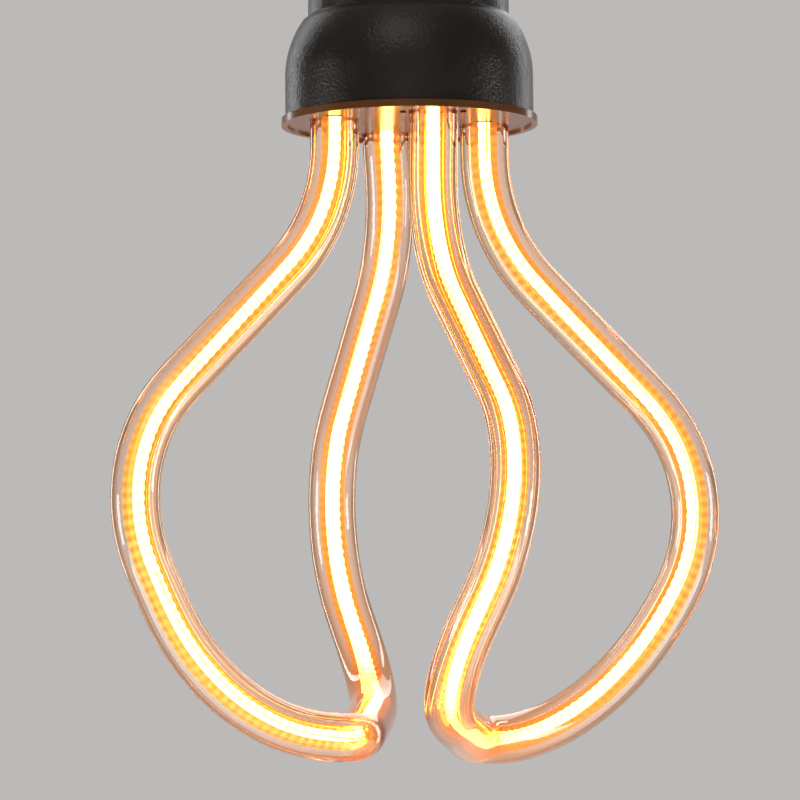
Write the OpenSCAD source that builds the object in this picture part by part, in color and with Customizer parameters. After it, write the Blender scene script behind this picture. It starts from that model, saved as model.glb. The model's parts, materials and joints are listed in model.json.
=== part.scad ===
// Screw cap lamp with two bent clear tubes, each lit by a flexible glowing strip.
// The lamp hangs as in use: cap up, Z up, front towards minus Y.
// The origin is the middle of the centre contact's flat face.

/* [Cap] */
// Pitch of the rolled screw thread in mm
thread_pitch = 3.629; // [3.6:0.001:3.65]
// Largest diameter of the rolled thread in mm
thread_major_d = 26.2; // [26.05:0.05:26.45]
// Smallest diameter of the rolled thread in mm
thread_minor_d = 24.3; // [24.2:0.05:24.6]
// Thickness of the cap's sheet metal in mm
sheet = 0.3; // [0.25:0.05:0.35]
// Height of the cap from its skirt to the contact in mm
cap_height = 27; // [26:0.5:28]
// Height of the plain skirt under the thread in mm
skirt_height = 5; // [4:0.5:5.5]
// Diameter of the contact's head in mm
contact_d = 9; // [8:0.5:10]
// Thickness of the contact's head in mm
contact_head = 1.6; // [1.2:0.1:2]
// Diameter of the contact's shank in mm
shank_d = 2.4; // [2:0.1:3]
// Length of the contact's shank in mm
shank_length = 10.4; // [9:0.2:11]

/* [Housing] */
// Height of the housing over its base plate in mm
housing_height = 26; // [25:0.5:28]
// Diameter of the housing's straight skirt in mm
housing_d = 50.6; // [50:0.2:52]
// Height of the straight skirt in mm
housing_skirt = 8.5; // [8:0.5:9.5]
// Step between the rounded shoulder's top and the neck in mm
neck_step = 0.57; // [0.4:0.01:0.8]
// Height of the rounded shoulder in mm
shoulder_height = 12.3; // [11.5:0.1:13]
// Diameter of the housing's neck in mm
neck_d = 41; // [40:0.5:42]
// Radius of the neck's top edge in mm
neck_edge = 2; // [1:0.5:3]
// Wall thickness of the housing in mm
housing_wall = 2; // [1.8:0.1:2.4]
// Outside diameter of the sleeve that carries the screw shell in mm
carrier_d = 23.2; // [22.8:0.2:23.4]
// Bore of that sleeve in mm
carrier_bore = 20; // [19:0.5:20.5]

/* [Base plate] */
// Diameter of the thin glossy flange in mm
flange_d = 52.2; // [51.6:0.2:53]
// Thickness of the flange in mm
flange_height = 1; // [0.8:0.1:1.4]
// Thickness of the plate in mm
plate_height = 2; // [1.8:0.1:2.4]
// Depth by which the plate lies inside its lip in mm
lip_depth = 0.5; // [0.3:0.1:0.8]
// Width of the lip in mm
lip_width = 1.2; // [1:0.1:1.6]
// Height of the collars round the tubes in mm
collar_height = 4.5; // [4:0.5:5]
// Wall thickness of the collars in mm
collar_wall = 1.6; // [1.4:0.1:1.8]
// Width of the small slots beside the tube holes in mm
slot_width = 1.2; // [1:0.1:1.4]
// Length of the small slots in mm
slot_length = 3.2; // [2.6:0.2:3.6]

/* [Tubes] */
// Outside diameter of the clear tubes in mm
tube_od = 10; // [9.6:0.1:10]
// Wall thickness of the clear tubes in mm
tube_wall = 2.3; // [2.2:0.1:2.4]
// Gap between the collars round the tubes and the housing's bore in mm
leg_gap = 0.6; // [0.4:0.1:0.8]
// Turn of the whole cage about the lamp's axis in degrees
cage_turn = 17.5; // [15:0.5:20]
// Straight length of each leg below the plate in mm
stem = 3; // [2.8:0.1:3.2]
// Bend radius where a leg leaves the plate in mm
stem_bend = 30; // [25:5:35]
// Drop from the plate to the neck corners in mm
neck_drop = 22; // [21.5:0.5:22.5]
// Bend radius at the neck corners in mm
neck_bend = 38; // [37:0.5:39]
// Distance of the belly corners from the axis in mm
belly_out = 68; // [67.5:0.5:68.5]
// Drop from the plate to the belly corners in mm
belly_drop = 74; // [73.5:0.5:74.5]
// Bend radius at the belly corners in mm
belly_bend = 34; // [33:0.5:34.5]
// Distance of the side legs' low corners from the axis in mm
side_out = 44; // [43.5:0.5:44.5]
// Drop from the plate to the side legs' low corners in mm
side_drop = 126.5; // [126:0.5:127]
// Bend radius at the side legs' low corners in mm
side_bend = 42; // [40:0.5:42]
// Distance of the front and back legs' low corners from the axis in mm
end_out = 43; // [42.5:0.5:43.5]
// Drop from the plate to the front and back legs' low corners in mm
end_drop = 116; // [115.5:0.5:116.5]
// Bend radius at the front and back legs' low corners in mm
end_bend = 32; // [30:0.5:33]
// Bend radius of the turn beside the axis in mm
pole_bend = 9; // [8.5:0.5:9]
// Amount by which a bend draws the wall thinner, each side, in mm
bend_draw = 0.02; // [0.02:0.01:0.04]

/* [Left tube set by hand] */
// Left leg: turn of its neck corner away from its quarter in degrees
left_neck_turn = 2.5; // [1.5:0.5:3.5]
// Left leg: turn of its belly corner in degrees
left_belly_turn = 7.5; // [6.5:0.5:8.5]
// Left leg: turn of its low corner in degrees
left_low_turn = 9.5; // [8.5:0.5:10.5]
// Left leg: lift of its corners in mm
left_lift = 2; // [1.5:0.5:2.5]
// Back leg: turn of its neck corner in degrees
back_neck_turn = -6.5; // [-7:0.5:-5.5]
// Back leg: turn of its belly corner in degrees
back_belly_turn = 0.5; // [-0.5:0.5:1.5]
// Back leg: turn of its low corner in degrees
back_low_turn = -7.5; // [-8.5:0.5:-6.5]
// Back leg: lift of its corners in mm
back_lift = 1; // [0.5:0.5:1.5]
// Left tube: sideways place of its turn beside the axis in mm
left_pole_x = -11.5; // [-12:0.5:-11]
// Left tube: depth of that turn in mm
left_pole_y = 2; // [1.5:0.5:2.5]
// Left tube: drop from the plate to that turn in mm
left_pole_drop = 125.5; // [125:0.5:126]

/* [Right tube set by hand] */
// Right leg: turn of its neck corner away from its quarter in degrees
right_neck_turn = 4; // [3:0.5:5]
// Right leg: turn of its belly corner in degrees
right_belly_turn = -3; // [-4:0.5:-2]
// Right leg: turn of its low corner in degrees
right_low_turn = 17; // [16:0.5:17.5]
// Right leg: lift of its corners in mm
right_lift = 0.5; // [0:0.5:1]
// Front leg: turn of its neck corner in degrees
front_neck_turn = -2.5; // [-3.5:0.5:-1.5]
// Front leg: turn of its belly corner in degrees
front_belly_turn = 4.5; // [3.5:0.5:5.5]
// Front leg: turn of its low corner in degrees
front_low_turn = -12.5; // [-13:0.5:-11.5]
// Front leg: lift of its corners in mm
front_lift = -5.5; // [-6:0.5:-5]
// Right tube: sideways place of its turn beside the axis in mm
right_pole_x = 11.5; // [11:0.5:12]
// Right tube: depth of that turn in mm
right_pole_y = -3; // [-3.5:0.5:-2.5]
// Right tube: drop from the plate to that turn in mm
right_pole_drop = 126; // [125.5:0.5:126.5]

/* [Glowing strips] */
// Width of the flexible carrier in mm
strip_width = 2.8; // [2.4:0.1:2.9]
// Thickness of the flexible carrier in mm
strip_sheet = 0.2; // [0.16:0.02:0.24]
// Height of the outer phosphor coat in mm
outer_coat = 0.95; // [0.8:0.05:1]
// Height of the inner phosphor coat in mm
inner_coat = 1; // [0.85:0.05:1]
// Distance by which the taut strip keeps to the inside of each bend in mm
strip_ease = 0.8; // [0.6:0.1:0.9]
// Spacing of the light chips along the strip in mm
chip_pitch = 2.05; // [2:0.05:2.2]
// Length of a light chip in mm
chip_length = 1.1; // [0.9:0.1:1.2]
// Width of a light chip in mm
chip_width = 0.6; // [0.5:0.1:0.7]
// Height of a light chip in mm
chip_height = 0.25; // [0.2:0.05:0.3]

/* [Driver] */
// Gap between the driver board's edge and the housing's bore in mm
board_gap = 0.8; // [0.5:0.1:1]
// Thickness of the driver board in mm
board_sheet = 1.6; // [1.2:0.2:1.6]
// Diameter of the bulk capacitor in mm
bulk_d = 10; // [8:0.5:10]
// Height of the bulk capacitor in mm
bulk_height = 16; // [14:0.5:17]
// Diameter of the output capacitor in mm
output_d = 8; // [6.3:0.1:8]
// Height of the output capacitor in mm
output_height = 9; // [8:0.5:10]
// Diameter of the choke in mm
choke_d = 8; // [7:0.5:8]
// Height of the choke in mm
choke_height = 9; // [8:0.5:10]
// Diameter of the insulated leads in mm
lead_d = 1.2; // [1:0.1:1.3]
// Diameter of bare component wires in mm
wire_d = 0.6; // [0.5:0.1:0.7]

/* [Hidden] */
$fn = 48;

// Play between parts that slide together
play = 0.1;
// Overlap that joins neighbouring lengths of one bent piece
lap = 0.2;

// Levels along the axis
housing_top = -cap_height;
flange_top = housing_top - housing_height;
plate_face = flange_top - flange_height;
plate_top = plate_face + plate_height;
shoulder_foot = flange_top + housing_skirt;
shoulder_top = shoulder_foot + shoulder_height;
collar_top = plate_top + collar_height;
collar_room = 1.5;
board_under = collar_top + collar_room;
board_top = board_under + board_sheet;
tube_room = 0.8;
tube_top = board_under - tube_room;
shank_end = -contact_head - shank_length;

// Radii
housing_r = housing_d / 2;
shoulder_in = housing_r - neck_d / 2 - neck_step;
shoulder_r = (shoulder_in * shoulder_in + shoulder_height * shoulder_height) / (2 * shoulder_in);
major_r = thread_major_d / 2;
minor_r = thread_minor_d / 2;
bore_r = housing_r - housing_wall;
ledge_width = 1.9;
ledge_r = bore_r - ledge_width;
board_d = 2 * (bore_r - board_gap);
seal_r = tube_od / 2 + 1;
collar_r = tube_od / 2 + play + collar_wall;
leg_circle_r = bore_r - leg_gap - collar_r;
tube_bore_r = tube_od / 2 - tube_wall;

function unit(v) = v / norm(v);

// A spot on the cage: radius from the axis, turn round it from the left, and drop below the plate
function spot(radius, turn, drop) =
    [-radius * cos(turn), -radius * sin(turn), plate_face - drop];

// The corners of one leg from the plate down, at its quarter of the cage
function leg(quarter, neck_turn, belly_turn, low_turn, lift, low_out, low_drop, top) =
    let (turn = cage_turn + 90 * quarter)
    [
        spot(leg_circle_r, turn, plate_face - top),
        spot(leg_circle_r, turn, stem),
        spot(leg_circle_r, turn + neck_turn, neck_drop - lift),
        spot(belly_out, turn + belly_turn, belly_drop - lift),
        spot(low_out, turn + low_turn, low_drop - lift)
    ];

function turned_round(points) = [for (i = [len(points) - 1:-1:0]) points[i]];

function left_corners(top) = concat(
    leg(0, left_neck_turn, left_belly_turn, left_low_turn, left_lift, side_out, side_drop, top),
    [[left_pole_x, left_pole_y, plate_face - left_pole_drop]],
    turned_round(leg(-1, back_neck_turn, back_belly_turn, back_low_turn, back_lift,
        end_out, end_drop, top)));

function right_corners(top) = concat(
    leg(2, right_neck_turn, right_belly_turn, right_low_turn, right_lift, side_out, side_drop, top),
    [[right_pole_x, right_pole_y, plate_face - right_pole_drop]],
    turned_round(leg(1, front_neck_turn, front_belly_turn, front_low_turn, front_lift,
        end_out, end_drop, top)));

tube_bends = [
    0, stem_bend, neck_bend, belly_bend, side_bend, pole_bend,
    end_bend, belly_bend, neck_bend, stem_bend, 0
];

// Running along a line of corners: direction into corner i, turn there, its axis and its outside
function into(p, i) = unit(p[i] - p[i - 1]);
function bend_angle(p, i) = i == 0 || i == len(p) - 1 ? 0 : acos(into(p, i) * into(p, i + 1));
function bend_axis(p, i) = unit(cross(into(p, i), into(p, i + 1)));
function outside(p, i) = cross(into(p, i), bend_axis(p, i));
function setback(p, r, i) = r[i] * tan(bend_angle(p, i) / 2);

// Bends shrink where the straight length between two corners has no room for both
function room(p, r, i) =
    i < 1 || i > len(p) - 1 ? 1
    : min(1, (norm(p[i] - p[i - 1]) - 3 * lap) / max(lap, setback(p, r, i - 1) + setback(p, r, i)));
function fitted(p, r) = [for (i = [0:len(p) - 1]) r[i] * min(room(p, r, i), room(p, r, i + 1))];

// The sideways direction of a section, carried round the bend at corner i by angle a without twist
function carried(side, p, i, a) =
    (side * outside(p, i)) * (cos(a) * outside(p, i) + sin(a) * into(p, i))
    + (side * bend_axis(p, i)) * bend_axis(p, i);
function sides(side, p, i = 1) =
    i == len(p) - 1 ? [side] : concat([side], sides(carried(side, p, i, bend_angle(p, i)), p, i + 1));

// Place, direction and sideways direction at a distance along the line
function along(p, r, side, distance, i = 1) =
    let (
        start = p[i - 1] + setback(p, r, i - 1) * into(p, i),
        run = norm(p[i] - p[i - 1]) - setback(p, r, i - 1) - setback(p, r, i),
        arc = r[i] * bend_angle(p, i) * PI / 180
    )
    distance <= run ? [start + distance * into(p, i), into(p, i), side]
    : distance - run <= arc ? on_bend(p, r, side, (distance - run) / r[i] * 180 / PI, i)
    : along(p, r, carried(side, p, i, bend_angle(p, i)), distance - run - arc, i + 1);
function on_bend(p, r, side, a, i) =
    [
        p[i] - setback(p, r, i) * into(p, i)
            + r[i] * ((cos(a) - 1) * outside(p, i) + sin(a) * into(p, i)),
        cos(a) * into(p, i) - sin(a) * outside(p, i),
        carried(side, p, i, a)
    ];
function line_length(p, r, i = 1) =
    i == len(p) ? 0
    : norm(p[i] - p[i - 1]) - setback(p, r, i - 1) - setback(p, r, i)
        + r[i] * bend_angle(p, i) * PI / 180 + line_length(p, r, i + 1);

module framed(x, z, at) {
    y = cross(z, x);
    multmatrix([[x[0], y[0], z[0], at[0]], [x[1], y[1], z[1], at[1]], [x[2], y[2], z[2], at[2]]])
        children();
}

// Draws a section along a line of corners: straight lengths, and true bends a touch thinner
module bent_run(p, bends, first_side) {
    side = sides(first_side, p);
    r = fitted(p, bends);
    for (i = [1:len(p) - 1]) {
        start = p[i - 1] + (setback(p, r, i - 1) - (i == 1 ? 0 : lap)) * into(p, i);
        end = p[i] - (setback(p, r, i) - (i == len(p) - 1 ? 0 : lap)) * into(p, i);
        $draw = 0;
        framed(side[i - 1], into(p, i), start)
            linear_extrude(norm(end - start))
                children();
    }
    for (i = [1:len(p) - 2]) {
        $draw = bend_draw;
        framed(outside(p, i), bend_axis(p, i),
            p[i] - setback(p, r, i) * into(p, i) - r[i] * outside(p, i))
            rotate_extrude(angle = bend_angle(p, i))
                translate([r[i], 0])
                    rotate(atan2(side[i - 1] * bend_axis(p, i), side[i - 1] * outside(p, i)))
                        mirror([0, 1])
                            children();
    }
}

// Cap

// Radius of the rolled thread's outside, fading into the plain rings above and below it
crown_r = 10;
crown_top = -5.3;
crown_foot = -7;
bead = 0.6;
thread_top = crown_foot - 0.3;
thread_foot = housing_top + skirt_height + 0.1;
thread_fade = 1.2;
thread_rows = 28;
thread_steps = 36;
function eased(t) = let (s = min(1, max(0, t))) s * s * (3 - 2 * s);
function thread_r(turn, z) =
    let (
        wave = (major_r + minor_r) / 2
            + (major_r - minor_r) / 2 * cos(360 * z / thread_pitch - turn),
        from_top = minor_r + (wave - minor_r) * eased((thread_top - z) / thread_fade)
    )
    major_r - sheet / 2 + (from_top - major_r + sheet / 2) * eased((z - thread_foot) / thread_fade);

module rolled_thread() {
    m = thread_steps;
    rings = thread_rows + 1;
    points = [
        for (inner = [0, 1], j = [0:thread_rows], i = [0:m - 1])
            let (
                turn = 360 * i / m,
                z = thread_top + (thread_foot - thread_top) * j / thread_rows,
                r = thread_r(turn, z) - inner * sheet
            )
            [r * cos(turn), r * sin(turn), z]
    ];
    walls = [
        for (j = [0:thread_rows - 1], i = [0:m - 1])
            let (
                a = j * m + i,
                b = j * m + (i + 1) % m,
                c = b + m,
                d = a + m,
                n = rings * m
            )
            each [[a, b, c], [a, c, d], [a + n, c + n, b + n], [a + n, d + n, c + n]]
    ];
    ends = [
        for (i = [0:m - 1])
            let (b = (i + 1) % m, n = rings * m, last = thread_rows * m)
            each [[i, i + n, b + n, b], [last + i, last + b, last + b + n, last + i + n]]
    ];
    polyhedron(points, concat(walls, ends));
}

module screw_shell() {
    color("silver") {
        rolled_thread();
        // Crown that folds in over the insulator, with the ring that starts the thread
        rotate_extrude()
            polygon([
                [crown_r, crown_top - 0.1], [crown_r + 0.5, crown_top],
                [minor_r + 0.2, crown_foot], [minor_r + 0.2, thread_top - sheet],
                [minor_r + 0.2 - bead, thread_top - sheet], [minor_r + 0.2 - bead, crown_foot - 0.2],
                [crown_r + 0.3, crown_top - 0.5], [crown_r, crown_top - 0.5]
            ]);
        // Ring under the thread
        translate([0, 0, thread_foot])
            ring(major_r, major_r - bead, 0.4);
        // Plain skirt with its turned foot
        translate([0, 0, housing_top])
            ring(major_r, major_r - sheet, skirt_height + 0.2);
        translate([0, 0, housing_top])
            ring(major_r + 0.3, major_r - sheet, 0.5);
    }
}

module ring(outer, inner, height) {
    linear_extrude(height)
        difference() {
            circle(outer);
            circle(inner);
        }
}

insulator_depth = 3.2;
insulator_foot = crown_top - insulator_depth;

module cap_insulator() {
    color("#1c1c1e") difference() {
        rotate_extrude()
            polygon([
                [shank_d / 2, -contact_head], [contact_d / 2 + 1, -contact_head],
                [contact_d / 2 + 1.4, -contact_head - 0.6], [crown_r - 1, crown_top + 0.5],
                [crown_r, crown_top + 0.1], [crown_r, crown_top - 1.5],
                [crown_r + 1.2, crown_top - 1.7], [crown_r + 1.2, insulator_foot],
                [shank_d / 2, insulator_foot]
            ]);
        // Hollow under the insulator round its boss
        translate([0, 0, insulator_foot - 1])
            ring(crown_r - 1.5, shank_d / 2 + 2, 3);
    }
}

module centre_contact() {
    color("#d8c27a") {
        translate([0, 0, -contact_head])
            cylinder(d = contact_d, h = contact_head - 0.4);
        translate([0, 0, -0.4])
            cylinder(d1 = contact_d, d2 = contact_d - 1, h = 0.4);
        translate([0, 0, shank_end])
            cylinder(d = shank_d, h = shank_length);
    }
}

// Housing

// Half section of the housing's outside, drawn in by a wall thickness
module bell_section(wall) {
    translate([0, flange_top])
        square([housing_r - wall, housing_skirt]);
    intersection() {
        translate([housing_r - wall - shoulder_r, shoulder_foot])
            circle(shoulder_r);
        translate([0, shoulder_foot])
            square([housing_r, shoulder_height]);
    }
    translate([0, shoulder_top])
        square([neck_d / 2 - wall, housing_top - wall - neck_edge - shoulder_top]);
    translate([0, housing_top - wall - neck_edge - 1])
        square([neck_d / 2 - wall - neck_edge, neck_edge + 1]);
    translate([neck_d / 2 - wall - neck_edge, housing_top - wall - neck_edge])
        circle(neck_edge);
}

clip_level = plate_top + 1.4;
clip_height = 0.8;
skirt_bore_r = major_r - sheet;

module housing() {
    color("#17171a") difference() {
        union() {
            rotate_extrude()
                intersection() {
                    bell_section(0);
                    translate([0, flange_top])
                        square([housing_d, housing_height]);
                }
            // Sleeve that carries the screw shell
            translate([0, 0, housing_top - 1])
                cylinder(r = skirt_bore_r, h = skirt_height + 0.6);
            translate([0, 0, housing_top - 1])
                cylinder(d = carrier_d, h = insulator_foot - housing_top + 1);
        }
        // Room for the driver, over the board's ledge
        rotate_extrude()
            intersection() {
                bell_section(housing_wall);
                translate([0, board_top])
                    square([ledge_r, housing_height]);
            }
        // Wider bore below the ledge
        translate([0, 0, flange_top - 1])
            cylinder(r = bore_r, h = board_top - flange_top + 1);
        // Groove for the plate's clips
        translate([0, 0, clip_level])
            ring(bore_r + 0.5, bore_r - 1, clip_height);
        // Bore of the sleeve
        translate([0, 0, housing_top - 3 * housing_wall])
            cylinder(d = carrier_bore, h = cap_height);
        // Way out for the neutral lead
        translate([0, 0, neutral_level])
            rotate([90, 0, 0])
                cylinder(d = lead_d + 2 * play, h = major_r);
    }
}

// Base plate

post_r = 1.6;
post_gap = 0.3;
post_circle_r = ledge_r - post_gap - post_r;

module at_legs() {
    for (quarter = [0:3])
        rotate(cage_turn + 90 * quarter)
            translate([-leg_circle_r, 0])
                children();
}

module base_plate() {
    color("#2a1a10") difference() {
        union() {
            translate([0, 0, plate_face])
                cylinder(d = flange_d, h = flange_height);
            // Plate and spigot inside the housing
            translate([0, 0, plate_face])
                cylinder(r = bore_r - play, h = plate_height);
            translate([0, 0, plate_top])
                ring(bore_r - play, bore_r - 1.5, 3);
            // Lip round the underside
            translate([0, 0, plate_face - lip_depth])
                ring(flange_d / 2, flange_d / 2 - lip_width, lip_depth);
            // Clips that snap into the housing's groove
            for (quarter = [0:3])
                rotate(cage_turn + 90 * quarter)
                    translate([0, 0, clip_level + play])
                        rotate(-8)
                            rotate_extrude(angle = 16)
                                translate([bore_r - 1, 0])
                                    polygon([[0, 0], [1.4, 0], [1.4, 0.2], [0.9, 0.6], [0, 0.6]]);
            // Collars round the tubes
            at_legs()
                translate([0, 0, plate_top])
                    cylinder(r = collar_r, h = collar_height);
            // Posts that carry the driver board
            for (quarter = [0:3])
                rotate(cage_turn + 45 + 90 * quarter)
                    translate([post_circle_r, 0, plate_top])
                        cylinder(r = post_r, h = board_under - plate_top);
        }
        at_legs() {
            translate([0, 0, plate_face - 1])
                cylinder(r = tube_od / 2 + play, h = plate_height + collar_height + 2);
            // Seat of the seal
            translate([0, 0, collar_top - seal_height])
                cylinder(r = seal_r, h = seal_height + 1);
            // Slots beside each tube
            for (flip = [-1, 1])
                rotate(-cage_turn)
                    translate([0, flip * (tube_od / 2 + 1.1), plate_face + plate_height / 2])
                        cube([slot_length, slot_width, plate_height + 2], center = true);
        }
    }
}

seal_height = 2;

module tube_seals() {
    color("#3a3a3c") at_legs()
        translate([0, 0, collar_top - seal_height])
            ring(seal_r, tube_od / 2, seal_height);
}

// Tubes

module tube_section() {
    difference() {
        circle(tube_od / 2 - $draw);
        circle(tube_bore_r + $draw);
    }
}

// Sideways direction of a strip at the start of its first leg, square to the leg's own plane
function first_side(quarter) = [-sin(cage_turn + 90 * quarter), cos(cage_turn + 90 * quarter), 0];

module left_tube() {
    color("lightcyan", 0.4)
        bent_run(left_corners(tube_top), tube_bends, first_side(0))
            tube_section();
}

module right_tube() {
    color("lightcyan", 0.4)
        bent_run(right_corners(tube_top), tube_bends, first_side(2))
            tube_section();
}

// Glowing strips

plug_height = 3;
strip_top = tube_top - plug_height;
bare_end = 2;
coat_top = strip_top - bare_end;

// The taut strip keeps to the inside of every bend
function eased_in(p) = [
    for (i = [0:len(p) - 1])
        bend_angle(p, i) < 10 ? p[i]
        : p[i] + strip_ease * unit(into(p, i + 1) - into(p, i))
];

function left_strip(top) = eased_in(left_corners(top));
function right_strip(top) = eased_in(right_corners(top));

module carrier_section() {
    square([strip_width - 2 * $draw, strip_sheet - 2 * $draw], center = true);
}

// Domed coat on the side of the strip away from the axis
module outer_section() {
    dome_r = (strip_width * strip_width / 4 + outer_coat * outer_coat) / (2 * outer_coat);
    intersection() {
        translate([0, -strip_sheet / 2 - outer_coat + dome_r + $draw])
            circle(dome_r);
        translate([-strip_width / 2 + $draw, -strip_sheet / 2 - outer_coat])
            square([strip_width - 2 * $draw, outer_coat - $draw]);
    }
}

// Square coat on the side towards the axis, with the channel that holds the chips
module inner_section() {
    difference() {
        translate([-strip_width / 2 + 0.1 + $draw, strip_sheet / 2 + $draw])
            square([strip_width - 0.2 - 2 * $draw, inner_coat - 2 * $draw]);
        translate([-chip_width / 2 - $draw, 0])
            square([chip_width + 2 * $draw, strip_sheet / 2 + chip_height + $draw]);
    }
}

module chips(p, side) {
    bends = fitted(p, tube_bends);
    count = floor((line_length(p, bends) - 2 * chip_pitch) / chip_pitch);
    for (i = [1:count]) {
        place = along(p, bends, side, i * chip_pitch);
        framed(place[2], place[1], place[0])
            translate([0, strip_sheet / 2 + chip_height / 2, 0])
                cube([chip_width, chip_height, chip_length], center = true);
    }
}

module left_carrier() {
    color("#c9a15a") bent_run(left_strip(strip_top), tube_bends, first_side(0)) carrier_section();
}

module right_carrier() {
    color("#c9a15a") bent_run(right_strip(strip_top), tube_bends, first_side(2)) carrier_section();
}

module left_chips() {
    color("#f4e9c8") chips(left_strip(coat_top), first_side(0));
}

module right_chips() {
    color("#f4e9c8") chips(right_strip(coat_top), first_side(2));
}

module left_inner_phosphor() {
    color("orange") bent_run(left_strip(coat_top), tube_bends, first_side(0)) inner_section();
}

module left_outer_phosphor() {
    color("orange") bent_run(left_strip(coat_top), tube_bends, first_side(0)) outer_section();
}

module right_inner_phosphor() {
    color("orange") bent_run(right_strip(coat_top), tube_bends, first_side(2)) inner_section();
}

module right_outer_phosphor() {
    color("orange") bent_run(right_strip(coat_top), tube_bends, first_side(2)) outer_section();
}

tab_width = 1.6;
tab_sheet = 0.3;
tab_shift = (strip_sheet + tab_sheet) / 2;
tab_foot = coat_top + play;
tab_top = tube_top + tube_room / 2;
pin_length = 1.4;
pin_top = board_top + pin_length;

// Where the metal tabs lie on the outer face of a strip's two ends, and which way they face
function tab_places(p, side) =
    let (last = len(p) - 1, last_side = sides(side, p)[last - 1])
    [
        [p[0] + tab_shift * cross([0, 0, 1], side), side],
        [p[last] - tab_shift * cross([0, 0, 1], last_side), last_side]
    ];
left_tabs = tab_places(left_strip(strip_top), first_side(0));
right_tabs = tab_places(right_strip(strip_top), first_side(2));
all_tabs = concat(left_tabs, right_tabs);

module at_tabs(places) {
    for (place = places)
        framed(place[1], [0, 0, 1], [place[0][0], place[0][1], 0])
            children();
}

// Metal ends of a strip: a tab on the carrier, and a pin up through the board
module terminals(places) {
    color("silver") at_tabs(places) {
        translate([-tab_width / 2, -tab_sheet / 2, tab_foot])
            cube([tab_width, tab_sheet, tab_top - tab_foot]);
        translate([0, 0, tube_top])
            cylinder(d = wire_d, h = pin_top - tube_top);
    }
}

module left_terminals() {
    terminals(left_tabs);
}

module right_terminals() {
    terminals(right_tabs);
}

// Soft plugs that close the tube mouths and grip the strips
module end_plugs() {
    color("white") difference() {
        at_legs()
            translate([0, 0, strip_top])
                cylinder(r = tube_bore_r, h = plug_height);
        at_tabs(all_tabs)
            translate([-tab_width / 2, -tab_sheet / 2, strip_top - 1])
                cube([tab_width, tab_sheet, plug_height + 2]);
    }
}

// Driver

bulk_pins = 2.5;
output_x = -10.5;
output_y = 8;
choke_x = 10.5;
choke_y = -8;
film_x = 9.5;
film_y = 11;
film_pins = 3.5;
film_length = 10;
film_sheet = 4;
film_height = 8;
fuse_x = -7.5;
fuse_y = -12;
fuse_pins = 6;
radial_pins = 1.75;
lead_out = 7.6;
lead_bend = 2.5;
neutral_level = housing_top + 2.5;

// Every place where a wire goes through the board from above
wire_places = [
    [0, bulk_pins], [0, -bulk_pins],
    [output_x - radial_pins, output_y], [output_x + radial_pins, output_y],
    [choke_x - radial_pins, choke_y], [choke_x + radial_pins, choke_y],
    [film_x - film_pins, film_y], [film_x + film_pins, film_y],
    [fuse_x - fuse_pins, fuse_y], [fuse_x + fuse_pins, fuse_y]
];

module driver_board() {
    color("#1f5f3a") translate([0, 0, board_under])
        linear_extrude(board_sheet)
            difference() {
                circle(d = board_d);
                for (place = wire_places)
                    translate(place)
                        circle(d = wire_d + 2 * play);
                for (flip = [-1, 1])
                    translate([0, flip * lead_out])
                        circle(d = lead_d + 2 * play);
                for (place = all_tabs)
                    translate([place[0][0], place[0][1]])
                        circle(d = wire_d + 2 * play);
            }
}

wire_reach = 0.9;
wire_under = board_under - wire_reach;

module pin(at, top) {
    translate([at[0], at[1], wire_under])
        cylinder(d = wire_d, h = top - wire_under);
}

// A round capacitor standing on the board: can with its rolled groove, and two wires
module round_capacitor(at, d, height, half) {
    for (flip = [-1, 1])
        pin(at + flip * half, board_top + 0.5);
    translate([at[0], at[1], board_top])
        difference() {
            union() {
                cylinder(d = d, h = height - 0.5);
                translate([0, 0, height - 0.5])
                    cylinder(d1 = d, d2 = d - 1, h = 0.5);
            }
            translate([0, 0, 1.8])
                rotate_extrude()
                    translate([d / 2 + 0.2, 0])
                        circle(0.6);
        }
}

module bulk_capacitor() {
    color("#23304a") round_capacitor([0, 0], bulk_d, bulk_height, [0, bulk_pins]);
}

module output_capacitor() {
    color("#23304a")
        round_capacitor([output_x, output_y], output_d, output_height, [radial_pins, 0]);
}

module film_capacitor() {
    color("#b5452b") {
        translate([film_x - film_length / 2, film_y - film_sheet / 2, board_top])
            cube([film_length, film_sheet, film_height]);
        for (flip = [-1, 1])
            pin([film_x + flip * film_pins, film_y], board_top + 0.5);
    }
}

choke_flange = 1.2;
choke_waist = 3.6;

module choke_core() {
    color("#3b3b3d") {
        translate([choke_x, choke_y, board_top]) {
            cylinder(d = choke_d, h = choke_flange);
            cylinder(d = choke_waist, h = choke_height);
            translate([0, 0, choke_height - choke_flange])
                cylinder(d = choke_d, h = choke_flange);
        }
        for (flip = [-1, 1])
            pin([choke_x + flip * radial_pins, choke_y], board_top + 0.5);
    }
}

module choke_winding() {
    color("#b4632c") translate([choke_x, choke_y, board_top + choke_flange])
        ring(choke_d / 2 - 0.5, choke_waist / 2, choke_height - 2 * choke_flange);
}

fuse_d = 3;
fuse_length = 8;
fuse_level = board_top + fuse_d / 2;

// A resistor lying on the board, its two wires bent down through it
module fuse_resistor() {
    color("#4a7a8c") {
        translate([fuse_x - fuse_length / 2, fuse_y, fuse_level])
            rotate([0, 90, 0])
                cylinder(d = fuse_d, h = fuse_length);
        for (flip = [0, 1])
            translate([fuse_x, fuse_y, 0])
                mirror([flip, 0, 0])
                    bent_run([
                        [fuse_length / 2 - 0.5, 0, fuse_level], [fuse_pins, 0, fuse_level],
                        [fuse_pins, 0, wire_under]], [0, 1, 0], [0, 1, 0])
                        circle(wire_d / 2 - $draw);
    }
}

foot_sheet = 0.2;
feet_share = 0.76;

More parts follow.
